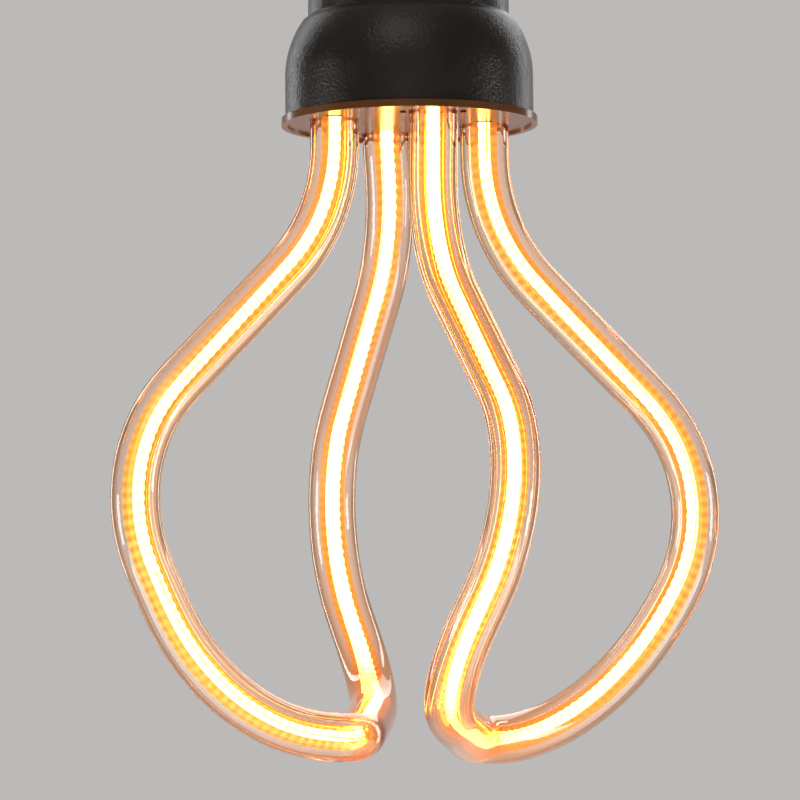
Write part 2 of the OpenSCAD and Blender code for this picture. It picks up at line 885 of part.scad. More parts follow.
// A small part under the board: body with flat feet along both long sides
module surface_part(at, size, feet, foot_width, reach) {
    translate([at[0], at[1], board_under]) {
        translate([-size[0] / 2, -size[1] / 2, -size[2] - foot_sheet / 2])
            cube(size);
        for (flip = [-1, 1], i = [0:feet - 1]) {
            x = feet == 1 ? 0 : size[0] * (i / (feet - 1) - 0.5) * feet_share;
            translate([x - foot_width / 2, flip * (size[1] / 2 + reach / 2) - reach / 2, -foot_sheet])
                cube([foot_width, reach, foot_sheet]);
            translate([x - foot_width / 2, flip * size[1] / 2 - foot_sheet, -size[2] / 2])
                cube([foot_width, 2 * foot_sheet, size[2] / 2]);
        }
    }
}

// Places and sizes of the surface parts under the board
surface_gap = 3.1;
surface_out = leg_circle_r - collar_r - surface_gap;
bridge_place = [-surface_out, 3.4];
bridge_size = [4.7, 3.9, 2.5];
chip_place = [surface_out, -3.4];
chip_size = [4.9, 3.9, 1.5];
diode_place = [surface_out, 4.2];
diode_size = [2.6, 4.3, 2.1];
sense_places = [[-surface_out, -2.2], [-surface_out, -4.4]];
sense_size = [2, 1.25, 0.5];

module bridge_rectifier() {
    color("#202022") surface_part(bridge_place, bridge_size, 2, 0.7, 1.2);
}

module driver_chip() {
    color("#202022") surface_part(chip_place, chip_size, 4, 0.4, 1);
}

module output_diode() {
    color("#202022") surface_part(diode_place, diode_size, 1, 1.5, 0.5);
}

module sense_resistors() {
    color("#2b2b2f") for (place = sense_places)
        translate([place[0] - sense_size[0] / 2, place[1] - sense_size[1] / 2, board_under - sense_size[2]])
            cube(sense_size);
}

live_turn = 9;
live_straight = 4;
live_corners = [
    [0, lead_out, wire_under], [0, lead_out, shank_end - live_turn],
    [0, 0, shank_end - live_straight], [0, 0, shank_end]
];

module live_lead() {
    color("#8a2a22") bent_run(live_corners, [0, lead_bend, lead_bend, 0], [1, 0, 0])
        circle(lead_d / 2 - $draw);
}

neutral_corners = [
    [0, -lead_out, wire_under], [0, -lead_out, neutral_level], [0, -skirt_bore_r, neutral_level]
];

module neutral_lead() {
    color("#2a3a8a") bent_run(neutral_corners, [0, lead_bend, 0], [1, 0, 0])
        circle(lead_d / 2 - $draw);
}

joint_height = 0.8;

module joint(d) {
    difference() {
        cylinder(d1 = d + 1.2, d2 = d + 0.2, h = joint_height);
        translate([0, 0, -1])
            cylinder(d = d, h = joint_height + 2);
    }
}

// Solder round every wire under the board, and round the strips' pins above it
module solder_joints() {
    color("#b9bcc0") {
        for (place = wire_places)
            translate([place[0], place[1], board_under])
                mirror([0, 0, 1])
                    joint(wire_d);
        for (flip = [-1, 1])
            translate([0, flip * lead_out, board_under])
                mirror([0, 0, 1])
                    joint(lead_d);
        at_tabs(all_tabs)
            translate([0, 0, board_top])
                joint(wire_d);
    }
}

screw_shell();
cap_insulator();
centre_contact();
housing();
base_plate();
tube_seals();
end_plugs();
left_tube();
right_tube();
left_carrier();
right_carrier();
left_chips();
right_chips();
left_inner_phosphor();
left_outer_phosphor();
right_inner_phosphor();
right_outer_phosphor();
left_terminals();
right_terminals();
driver_board();
bulk_capacitor();
output_capacitor();
film_capacitor();
choke_core();
choke_winding();
fuse_resistor();
bridge_rectifier();
driver_chip();
output_diode();
sense_resistors();
live_lead();
neutral_lead();
solder_joints();
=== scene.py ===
import json
import math

import bpy
from mathutils import Matrix, Vector
from mathutils.kdtree import KDTree


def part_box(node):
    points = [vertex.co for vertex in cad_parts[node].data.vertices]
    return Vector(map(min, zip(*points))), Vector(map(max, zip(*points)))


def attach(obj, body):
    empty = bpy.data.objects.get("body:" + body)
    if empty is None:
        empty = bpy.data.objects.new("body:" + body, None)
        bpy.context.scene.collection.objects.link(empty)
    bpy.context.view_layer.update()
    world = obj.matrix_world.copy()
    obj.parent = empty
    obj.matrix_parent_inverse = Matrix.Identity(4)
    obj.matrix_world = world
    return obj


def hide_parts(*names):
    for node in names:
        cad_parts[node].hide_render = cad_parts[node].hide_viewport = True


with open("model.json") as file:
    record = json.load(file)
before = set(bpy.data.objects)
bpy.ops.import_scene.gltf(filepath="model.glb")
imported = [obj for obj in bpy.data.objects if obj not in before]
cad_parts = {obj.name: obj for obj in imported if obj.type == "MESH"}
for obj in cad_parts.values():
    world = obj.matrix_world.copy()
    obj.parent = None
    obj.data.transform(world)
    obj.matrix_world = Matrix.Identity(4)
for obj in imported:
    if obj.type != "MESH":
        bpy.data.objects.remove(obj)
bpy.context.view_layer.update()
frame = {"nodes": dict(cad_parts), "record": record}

bl_info = {
    "name": "Bent tube lamp dressing",
    "version": (1, 0, 0),
    "blender": (4, 5, 0),
    "location": "3D View > Sidebar > Lamp",
    "description": "Dresses the packed screw cap lamp with smooth tubes, glowing strips and finishes",
    "category": "Object",
}

MM = 0.001
NODES = frame["nodes"]

# Levels along the axis and the housing's radius, in metres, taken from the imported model, and the
# flange's height as in the part's source
HOUSING_LOW, HOUSING_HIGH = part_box("housing")
HOUSING_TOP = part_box("screw_shell")[0].z
HOUSING_R = HOUSING_HIGH.x
FLANGE_TOP = HOUSING_LOW.z
FLANGE_HEIGHT = 1.0 * MM
PLATE_FACE = FLANGE_TOP - FLANGE_HEIGHT
TUBE_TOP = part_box("left_tube")[1].z
COAT_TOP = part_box("left_outer_phosphor")[1].z


class LampSizes(bpy.types.PropertyGroup):
    """Sizes of the pieces that this script models"""

    tube_diameter: bpy.props.FloatProperty(
        name="Tube diameter", description="Outside diameter of the clear tubes",
        default=10.0 * MM, min=9.6 * MM, max=10.0 * MM, unit="LENGTH")
    tube_wall: bpy.props.FloatProperty(
        name="Tube wall", description="Wall thickness of the clear tubes",
        default=2.3 * MM, min=2.2 * MM, max=2.4 * MM, unit="LENGTH")
    strip_width: bpy.props.FloatProperty(
        name="Strip width", description="Width of the glowing strips",
        default=2.8 * MM, min=2.4 * MM, max=2.8 * MM, unit="LENGTH")
    strip_sheet: bpy.props.FloatProperty(
        name="Strip sheet", description="Thickness of the film between the two coats of a strip",
        default=0.2 * MM, min=0.1 * MM, max=0.2 * MM, unit="LENGTH")
    outer_coat: bpy.props.FloatProperty(
        name="Outer coat", description="Height of the smooth coat on a strip's outer side",
        default=0.95 * MM, min=0.8 * MM, max=0.95 * MM, unit="LENGTH")
    inner_coat: bpy.props.FloatProperty(
        name="Inner coat", description="Height of the beaded coat on a strip's inner side",
        default=1.0 * MM, min=0.8 * MM, max=1.0 * MM, unit="LENGTH")
    bead_pitch: bpy.props.FloatProperty(
        name="Bead pitch", description="Distance from one bead of the inner coat to the next",
        default=2.05 * MM, min=1.8 * MM, max=2.4 * MM, unit="LENGTH")
    thread_pitch: bpy.props.FloatProperty(
        name="Thread pitch", description="Rise of the screw thread in one turn",
        default=3.629 * MM, min=3.6 * MM, max=3.65 * MM, unit="LENGTH")


class LampColours(bpy.types.PropertyGroup):
    """Colours that a user would change"""

    core: bpy.props.FloatVectorProperty(
        name="Strip core", description="Colour of the light in the middle of a strip",
        subtype="COLOR", size=3, min=0.0, max=1.0, default=(1.0, 0.76, 0.6))
    rim: bpy.props.FloatVectorProperty(
        name="Strip rim", description="Colour of the light along a strip's edges",
        subtype="COLOR", size=3, min=0.0, max=1.0, default=(0.85, 0.62, 0.42))
    # The housing's slight warm cast is painted glow of the strips; the plastic itself is near-black
    housing: bpy.props.FloatVectorProperty(
        name="Housing", description="Colour of the moulded housing",
        subtype="COLOR", size=3, min=0.0, max=1.0, default=(0.008, 0.006, 0.0045))
    backdrop: bpy.props.FloatVectorProperty(
        name="Backdrop", description="Colour of the pale background",
        subtype="COLOR", size=3, min=0.0, max=1.0, default=(0.5, 0.49, 0.48))


# The run of the two tubes, with the same corners and bends as the part's source. From here to the
# stage, lengths in capitals are in mm and turns in degrees, unless their comment says otherwise.

CAGE_TURN = 17.5
LEG_CIRCLE_R = 16.0
STEM = 3.0
NECK_DROP = 22.0
BELLY_OUT = 68.0
BELLY_DROP = 74.0
# Distance from the axis and drop of each loop's two low corners
SIDE_LOW = (44.0, 126.5)
END_LOW = (43.0, 116.0)
# Radius of the bend at each corner of a tube, from one mouth to the other
BENDS = (0.0, 30.0, 38.0, 34.0, 42.0, 9.0, 32.0, 34.0, 38.0, 30.0, 0.0)
# Each leg: quarter of the cage, turns of its neck, belly and low corners, lift, and low corner
LEFT_LEG = (0, 2.5, 7.5, 9.5, 2.0, SIDE_LOW)
BACK_LEG = (-1, -6.5, 0.5, -7.5, 1.0, END_LOW)
RIGHT_LEG = (2, 4.0, -3.0, 17.0, 0.5, SIDE_LOW)
FRONT_LEG = (1, -2.5, 4.5, -12.5, -5.5, END_LOW)
# Each loop's turn beside the axis: X, Y and drop
LEFT_POLE = (-11.5, 2.0, 125.5)
RIGHT_POLE = (11.5, -3.0, 126.0)
# How far a strip cuts its corners, and the least turn that it cuts
STRIP_EASE = 0.8
LEAST_TURN = 10.0
# Length over which a straight run eases into a bend
RELAX = 2.4
# Radius at which a bend counts as fully tight
TIGHT_R = 12.0
# Distance between two points of a tube's and of a strip's route
TUBE_STEP = 1.0
STRIP_STEP = 0.29


def spot(radius, turn, drop):
    """A spot on the cage in metres: radius and drop in mm, turn in degrees from the left"""
    a = math.radians(turn)
    return Vector((-radius * math.cos(a) * MM, -radius * math.sin(a) * MM, PLATE_FACE - drop * MM))


def leg(row, top):
    """Corners of one leg from the plate down"""
    quarter, neck, belly, low, lift, (low_out, low_drop) = row
    turn = CAGE_TURN + 90 * quarter
    return [
        spot(LEG_CIRCLE_R, turn, (PLATE_FACE - top) / MM),
        spot(LEG_CIRCLE_R, turn, STEM),
        spot(LEG_CIRCLE_R, turn + neck, NECK_DROP - lift),
        spot(BELLY_OUT, turn + belly, BELLY_DROP - lift),
        spot(low_out, turn + low, low_drop - lift),
    ]


def corners(side, top):
    """Corners of a whole tube, down one leg, round its turn beside the axis and up the other"""
    first, last, pole = (
        (LEFT_LEG, BACK_LEG, LEFT_POLE) if side == "left" else (RIGHT_LEG, FRONT_LEG, RIGHT_POLE))
    x, y, drop = pole
    return leg(first, top) + [Vector((x * MM, y * MM, PLATE_FACE - drop * MM))] + leg(last, top)[::-1]


def eased_in(points):
    """The taut strip keeps to the inside of every bend"""
    moved = [points[0]]
    for before, here, after in zip(points, points[1:], points[2:]):
        u, v = (here - before).normalized(), (after - here).normalized()
        bent = u.angle(v) >= math.radians(LEAST_TURN)
        moved.append(here + STRIP_EASE * MM * (v - u).normalized() if bent else here)
    return moved + [points[-1]]


def relaxed(places, step):
    """Softens the change from a straight run to a bend, as a hand bent tube has it"""
    passes = round(2 * (RELAX * MM / step) ** 2)
    for _ in range(passes):
        places = [places[0]] + [
            (a + 2 * b + c) / 4 for a, b, c in zip(places, places[1:], places[2:])] + [places[-1]]
    return places


def route(points, step):
    """Evenly spaced points along straight runs and round bends, and the bend at each point"""
    out, bent = [], []
    here = points[0]
    for i in range(1, len(points) - 1):
        u = (points[i] - points[i - 1]).normalized()
        v = (points[i + 1] - points[i]).normalized()
        r = BENDS[i] * MM
        angle = u.angle(v)
        start = points[i] - u * r * math.tan(angle / 2)
        count = max(1, round((start - here).length / step))
        for k in range(count):
            out.append(here.lerp(start, k / count))
            bent.append(0.0)
        across = (v - u * v.dot(u)).normalized()
        centre = start + across * r
        count = max(2, round(r * angle / step))
        for k in range(count):
            a = angle * k / count
            out.append(centre - across * r * math.cos(a) + u * r * math.sin(a))
            bent.append(min(1.0, TIGHT_R * MM / r) * math.sin(math.pi * k / count))
        here = points[i] + v * r * math.tan(angle / 2)
    count = max(1, round((points[-1] - here).length / step))
    out += [here.lerp(points[-1], k / count) for k in range(count + 1)]
    bent += [0.0] * (count + 1)
    return relaxed(out, step), bent


def run_lengths(points):
    """Length along a route up to each of its points"""
    run = [0.0]
    for a, b in zip(points, points[1:]):
        run.append(run[-1] + (b - a).length)
    return run


# Modelling helpers, each one step as made by hand

def deselect():
    """Object mode, with nothing selected"""
    if bpy.context.object and bpy.context.object.mode != "OBJECT":
        bpy.ops.object.mode_set(mode="OBJECT")
    bpy.ops.object.select_all(action="DESELECT")


def only(piece):
    """Selects one piece alone"""
    deselect()
    piece.select_set(True)
    bpy.context.view_layer.objects.active = piece


def apply_all(piece):
    """Applies a piece's modifiers"""
    only(piece)
    for name in [m.name for m in piece.modifiers]:
        bpy.ops.object.modifier_apply(modifier=name)


def chain(name, points):
    """A line of edges, drawn by extruding one point from place to place"""
    deselect()
    bpy.ops.mesh.primitive_plane_add(size=MM, location=(0, 0, 0))
    piece = bpy.context.object
    piece.name = name
    bpy.ops.object.mode_set(mode="EDIT")
    bpy.ops.mesh.select_all(action="SELECT")
    bpy.ops.mesh.merge(type="CENTER")
    bpy.ops.mesh.select_all(action="SELECT")
    here = Vector(points[0])
    bpy.ops.transform.translate(value=here)
    for point in points[1:]:
        bpy.ops.mesh.extrude_vertices_move(
            TRANSFORM_OT_translate={"value": Vector(point) - here})
        here = Vector(point)
    bpy.ops.object.mode_set(mode="OBJECT")
    return piece


# Distance under which two points are one, on a turned piece or tube and on a strip
MERGE = 0.002
STRIP_MERGE = 0.001
# Sides of a turned piece
CAP_SIDES = 96
HOUSING_SIDES = 192


def lathe(name, outline, sides, rise=0.0, rounds=1):
    """Turns an outline of (radius, level) in mm round the axis, as a ring or with a rise as a thread"""
    piece = chain(name, [(r * MM, 0, z * MM) for r, z in outline])
    screw = piece.modifiers.new("turn", "SCREW")
    screw.axis = "Z"
    screw.angle = math.radians(360)
    screw.screw_offset = rise
    screw.iterations = rounds
    screw.steps = screw.render_steps = sides
    screw.use_merge_vertices = True
    screw.merge_threshold = MERGE * MM
    apply_all(piece)
    tidy_normals(piece)
    return piece


def tidy_normals(piece, merge=MERGE):
    """Merges doubles, then turns every face outwards"""
    only(piece)
    bpy.ops.object.mode_set(mode="EDIT")
    bpy.ops.mesh.select_all(action="SELECT")
    bpy.ops.mesh.remove_doubles(threshold=merge * MM)
    bpy.ops.mesh.normals_make_consistent(inside=False)
    bpy.ops.object.mode_set(mode="OBJECT")


def thicken(piece, wall, even=False):
    """Gives a shell its wall, inwards from its outside"""
    sheet = piece.modifiers.new("wall", "SOLIDIFY")
    sheet.thickness = wall
    sheet.offset = -1.0
    sheet.use_even_offset = even
    apply_all(piece)


def join(name, pieces):
    """Makes one piece of several"""
    deselect()
    for p in pieces:
        p.select_set(True)
    bpy.context.view_layer.objects.active = pieces[0]
    bpy.ops.object.join()
    pieces[0].name = name
    return pieces[0]


def finish_piece(piece, slot, replaced, sharp, finish=None):
    """Shades a piece smooth up to a sharp angle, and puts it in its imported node's place"""
    only(piece)
    bpy.ops.object.shade_smooth_by_angle(angle=math.radians(sharp))
    piece.data.materials.clear()
    piece.data.materials.append(MATERIALS[finish or slot])
    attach(piece, "root")
    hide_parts(replaced)


# Node helpers

def feed(tree, socket, value):
    """Links an output to a socket, or sets the socket to a plain value"""
    if isinstance(value, bpy.types.NodeSocket):
        tree.links.new(value, socket)
    else:
        socket.default_value = value


def feed_all(tree, made, values):
    """Feeds sockets by name, with an underscore for each space"""
    for key, value in values.items():
        feed(tree, made.inputs[key.replace("_", " ")], value)


def node(tree, kind, operation=None, **values):
    """A new node, with its operation and its sockets fed"""
    made = tree.nodes.new(kind)
    if operation:
        made.operation = operation
    feed_all(tree, made, values)
    return made


def maths(tree, operation, *terms, kind="ShaderNodeMath"):
    """Result of a Math node over numbers or other nodes' outputs"""
    made = node(tree, kind, operation)
    for socket, term in zip(made.inputs, terms):
        feed(tree, socket, term)
    return made.outputs[0]


def colour_maths(tree, operation, *terms):
    return maths(tree, operation, *terms, kind="ShaderNodeVectorMath")


def mapped(tree, value, source, target=(0.0, 1.0)):
    """A value carried from one range to another"""
    made = node(tree, "ShaderNodeMapRange", Value=value, From_Min=source[0], From_Max=source[1],
                To_Min=target[0], To_Max=target[1])
    return made.outputs["Result"]


def painted(tree, name):
    """A number that paint stored on a mesh"""
    made = tree.nodes.new("ShaderNodeAttribute")
    made.attribute_name = name
    return made.outputs["Fac"]


def ramp(tree, factor, stops):
    """Colours at places from 0 to 1, looked up by a factor"""
    made = tree.nodes.new("ShaderNodeValToRGB")
    elements = made.color_ramp.elements
    while len(elements) < len(stops):
        elements.new(0.5)
    for element, (place, colour) in zip(elements, stops):
        element.position = place
        element.color = (*colour, 1)
    feed(tree, made.inputs["Fac"], factor)
    return made.outputs["Color"]


def relief(tree, strength, depth, height):
    """Normal of a bump, with its depth in mm"""
    made = node(tree, "ShaderNodeBump", Strength=strength, Distance=depth * MM, Height=height)
    return made.outputs["Normal"]


def mixed(tree, factor, first, second):
    """The first shader where the factor is nothing, the second where it is one"""
    made = tree.nodes.new("ShaderNodeMixShader")
    for socket, value in zip(made.inputs, (factor, first, second)):
        tree.links.new(value, socket)
    return made.outputs["Shader"]


def new_material(name):
    """A material, its node tree and its plain shader"""
    material = bpy.data.materials.new(name)
    material.use_nodes = True
    tree = material.node_tree
    return material, tree, tree.nodes["Principled BSDF"]


def shared_group(name, inputs, outputs):
    """An empty node group, its given sockets, and its end"""
    group = bpy.data.node_groups.new(name, "ShaderNodeTree")
    for label, value in inputs:
        socket = group.interface.new_socket(label, in_out="INPUT", socket_type="NodeSocketFloat")
        socket.default_value = value
    for label in outputs:
        group.interface.new_socket(label, in_out="OUTPUT", socket_type="NodeSocketFloat")
    start = group.nodes.new("NodeGroupInput")
    end = group.nodes.new("NodeGroupOutput")
    return group, start.outputs, end


def make_grain_group():
    """Moulded or rolled grain: a slow tone over the surface and a fine height"""
    group, given, end = shared_group(
        "grain", [("Scale", 900.0), ("Tone scale", 60.0), ("Stretch", 1.0)], ["Tone", "Height"])
    spots = group.nodes.new("ShaderNodeTexCoord").outputs["Object"]
    stretch = node(group, "ShaderNodeCombineXYZ", X=1.0, Y=1.0, Z=given["Stretch"]).outputs["Vector"]
    scaled = colour_maths(group, "MULTIPLY", spots, stretch)
    fine = node(group, "ShaderNodeTexNoise", Vector=scaled, Scale=given["Scale"], Detail=3.0, Roughness=0.55)
    slow = node(group, "ShaderNodeTexNoise", Vector=scaled, Scale=given["Tone scale"], Detail=4.0,
                Roughness=0.6)
    feed_all(group, end, {"Tone": slow.outputs["Fac"], "Height": fine.outputs["Fac"]})
    return group


def make_scuff_group():
    """Scuffs and dust: a mask of thin broken lines and specks"""
    group, given, end = shared_group("scuffs", [("Scale", 220.0), ("Amount", 0.5)], ["Mask"])
    spots = group.nodes.new("ShaderNodeTexCoord").outputs["Object"]
    lines = node(group, "ShaderNodeTexNoise", Vector=spots, Scale=given["Scale"], Detail=6.0,
                 Roughness=0.75, Distortion=2.5)
    speck_scale = maths(group, "MULTIPLY", given["Scale"], 3.0)
    specks = node(group, "ShaderNodeTexVoronoi", Vector=spots, Scale=speck_scale)
    line_mask = mapped(group, lines.outputs["Fac"], (0.6, 0.78))
    speck_mask = mapped(group, specks.outputs["Distance"], (0.16, 0.04))
    both = maths(group, "MAXIMUM", line_mask, speck_mask)
    feed(group, end.inputs["Mask"], maths(group, "MULTIPLY", both, given["Amount"]))
    return group


# The shared node groups and the finishes, by name, once the first step has made them
GROUPS = {}
MATERIALS = {}


def group_node(tree, name, **values):
    """Places a shared group in a material, and returns what it puts out"""
    made = tree.nodes.new("ShaderNodeGroup")
    made.node_tree = GROUPS[name]
    feed_all(tree, made, values)
    return made.outputs


# Part of the grain's tone that a finish spreads its two colours and roughnesses over
TONE_SPAN = (0.3, 0.7)
# What a full scuff adds to the roughness
SCUFF_ROUGHNESS = 0.25


def toned(tree, tone, dark, light):
    """Two colours spread over the grain's slow tone"""
    return ramp(tree, tone, list(zip(TONE_SPAN, (dark, light))))


def surface(name, dark, light, rough, metallic=0.0, grain=900.0, tone=60.0, bump=0.15, depth=0.02,
            stretch=1.0, scuffs=0.25, coat=0.0, specular=0.5):
    """A moulded, rolled or lacquered finish with tone, grain and scuffs; depth in mm"""
    material, tree, shader = new_material(name)
    marks = group_node(tree, "grain", Scale=grain, Tone_scale=tone, Stretch=stretch)
    scuffed = group_node(tree, "scuffs", Scale=grain / 4, Amount=scuffs)["Mask"]
    base = mapped(tree, marks["Tone"], TONE_SPAN, rough)
    feed_all(tree, shader, {
        "Base Color": toned(tree, marks["Tone"], dark, light),
        "Roughness": maths(tree, "MULTIPLY_ADD", scuffed, SCUFF_ROUGHNESS, base),
        "Normal": relief(tree, bump, depth, marks["Height"]),
        "Metallic": metallic,
        "Coat Weight": coat,
        "Specular IOR Level": specular,
    })
    return material


BLACK = (0.0, 0.0, 0.0)
WHITE = (1.0, 1.0, 1.0)
TUBE_IOR = 1.47
# Tint of the light that passes through the tube: square on, at its edges, and through its bore. The copper at
# the edges and the amber in the bore are painted glow of the strips, not the plastic's own colour
TUBE_FACE = (0.96, 0.9, 0.82)
TUBE_EDGE_PAINTED_GLOW = (0.6, 0.22, 0.07)
TUBE_BORE_PAINTED_GLOW = (1.0, 0.42, 0.05)
# What shadows show of the light through the tube
TUBE_SHADOW = (0.95, 0.9, 0.82)
# Where among these colours the outside ends at a grazing view; the bore takes the last one
OUTSIDE_SHARE = 0.8
# How bent the wall is where it begins to mottle and where it is fully mottled
MOTTLED_BENDS = (0.25, 0.9)
# Browner tints of the wall in the tight bends, by how strongly it is mottled
BEND_TINTS = ((0.0, WHITE), (0.38, (0.88, 0.66, 0.5)), (0.47, (0.5, 0.28, 0.17)), (0.56, (0.8, 0.55, 0.38)))
# Painted light that the tube itself emits: the strips' haze in its walls, a painted reflection of their beads
# in the bore, and their strength
PAINTED_HAZE = (1.0, 0.34, 0.045)
PAINTED_BEAD_REFLECTION = (1.0, 0.52, 0.1)
PAINTED_GLOW_STRENGTH = 0.68
# Painted haze of a fully mottled wall, and the painted reflection between two beads and on one
BEND_PAINTED_HAZE = 0.7
BEAD_REFLECTION_SPAN = (0.15, 0.9)
# Strength of the strips' light
GLOW = 18.0
# How far the coats dim between two chips
CHIP_GAP_SHADE = 0.45
# How much the grain frays the edge of the glow
GRAIN_FRAY = 0.06


def tube_colour(tree, mottled):
    """Tint of the clear tube, with painted copper glow at its grazing edges and painted amber glow in its
    bore, browned where its bends are mottled
    """
    slant = node(tree, "ShaderNodeLayerWeight", Blend=0.5).outputs["Facing"]
    part = maths(tree, "MAXIMUM", maths(tree, "MULTIPLY", slant, OUTSIDE_SHARE), painted(tree, "bore"))
    colour = ramp(tree, part, (
        (0.0, TUBE_FACE), (0.12, TUBE_FACE), (0.4, TUBE_EDGE_PAINTED_GLOW), (0.8, TUBE_EDGE_PAINTED_GLOW), (1.0, TUBE_BORE_PAINTED_GLOW)))
    return colour_maths(tree, "MULTIPLY", colour, ramp(tree, mottled, BEND_TINTS))


def painted_tube_glow(tree, mottled):
    """Painted glow near the strip and in the mottled bends, and a painted reflection of the strip's beads on
    the bore's far side
    """
    lit = maths(tree, "MULTIPLY_ADD", mottled, BEND_PAINTED_HAZE, painted(tree, "near_strip"))
    wave = maths(tree, "COSINE", maths(tree, "MULTIPLY", painted(tree, "along"), 2 * math.pi))
    bead = mapped(tree, wave, (-1.0, 1.0), BEAD_REFLECTION_SPAN)
    mirrored = maths(tree, "MULTIPLY", bead, painted(tree, "far_side"))
    # The painted reflection shows only where one looks into the bore, not where its wall throws the view back
    turned_back = node(tree, "ShaderNodeFresnel", IOR=TUBE_IOR).outputs[0]
    shown = maths(tree, "MULTIPLY", mirrored, maths(tree, "SUBTRACT", 1.0, turned_back))
    return colour_maths(
        tree, "ADD", ramp(tree, lit, ((0.0, BLACK), (1.0, PAINTED_HAZE))),
        ramp(tree, shown, ((0.0, BLACK), (1.0, PAINTED_BEAD_REFLECTION))))


def tube_material():
    """Clear tube with painted light: copper glow at its edges, amber glow in its bore where the strip lights
    it, and the strips' glow in its walls; crinkled in the bends
    """
    material, tree, shader = new_material("clear_tube")
    bent = painted(tree, "bent")
    marks = group_node(tree, "grain", Scale=900.0, Tone_scale=700.0, Stretch=0.6)
    mottled = maths(tree, "MULTIPLY", mapped(tree, bent, MOTTLED_BENDS), marks["Tone"])
    crinkle = maths(tree, "MULTIPLY", marks["Height"], bent)
    feed_all(tree, shader, {
        "Transmission Weight": 1.0,
        "IOR": TUBE_IOR,
        "Base Color": tube_colour(tree, mottled),
        "Roughness": mapped(tree, marks["Tone"], (0.35, 0.75), (0.0, 0.06)),
        # The tube emits painted light, though it is no lamp: the strips' haze and a painted reflection of
        # their beads
        "Emission Color": painted_tube_glow(tree, mottled),
        "Emission Strength": PAINTED_GLOW_STRENGTH,
        "Normal": relief(tree, 0.5, 0.12, crinkle),
    })
    material.cycles.emission_sampling = "NONE"
    # A clear tube throws hardly any shadow
    clear = node(tree, "ShaderNodeBsdfTransparent", Color=(*TUBE_SHADOW, 1))
    path = tree.nodes.new("ShaderNodeLightPath")
    seen = mixed(tree, path.outputs["Is Shadow Ray"], shader.outputs["BSDF"], clear.outputs["BSDF"])
    feed(tree, tree.nodes["Material Output"].inputs["Surface"], seen)
    return material


def glow_material(name, core, rim, gap_rim):
    """Glowing coat: bright along the middle, dimmer at the edges and between the chips"""
    material, tree, shader = new_material(name)
    gap = painted(tree, "bead_gap")
    grain = group_node(tree, "grain", Scale=2400.0, Tone_scale=900.0)
    edge = maths(tree, "MULTIPLY_ADD", gap, gap_rim, painted(tree, "across"))
    place = maths(tree, "MULTIPLY_ADD", grain["Tone"], GRAIN_FRAY, edge)
    half_lit = tuple(v * 0.5 for v in core)
    colour = ramp(tree, place, [(0.0, core), (0.25, core), (0.85, half_lit), (1.0, rim)])
    dimmed = maths(tree, "MULTIPLY_ADD", gap, -CHIP_GAP_SHADE, 1.0)
    lit = node(tree, "ShaderNodeVectorMath", "SCALE", Vector=colour, Scale=dimmed)
    feed_all(tree, shader, {
        "Emission Color": lit.outputs[0],
        "Emission Strength": GLOW,
        "Base Color": toned(tree, grain["Tone"], (0.75, 0.33, 0.06), (0.85, 0.45, 0.1)),
        "Roughness": mapped(tree, grain["Tone"], TONE_SPAN, (0.35, 0.55)),
        "Normal": relief(tree, 0.3, 0.05, grain["Height"]),
    })
    return material


def colours():
    return bpy.context.scene.lamp_colours


def sizes():
    return bpy.context.scene.lamp_sizes


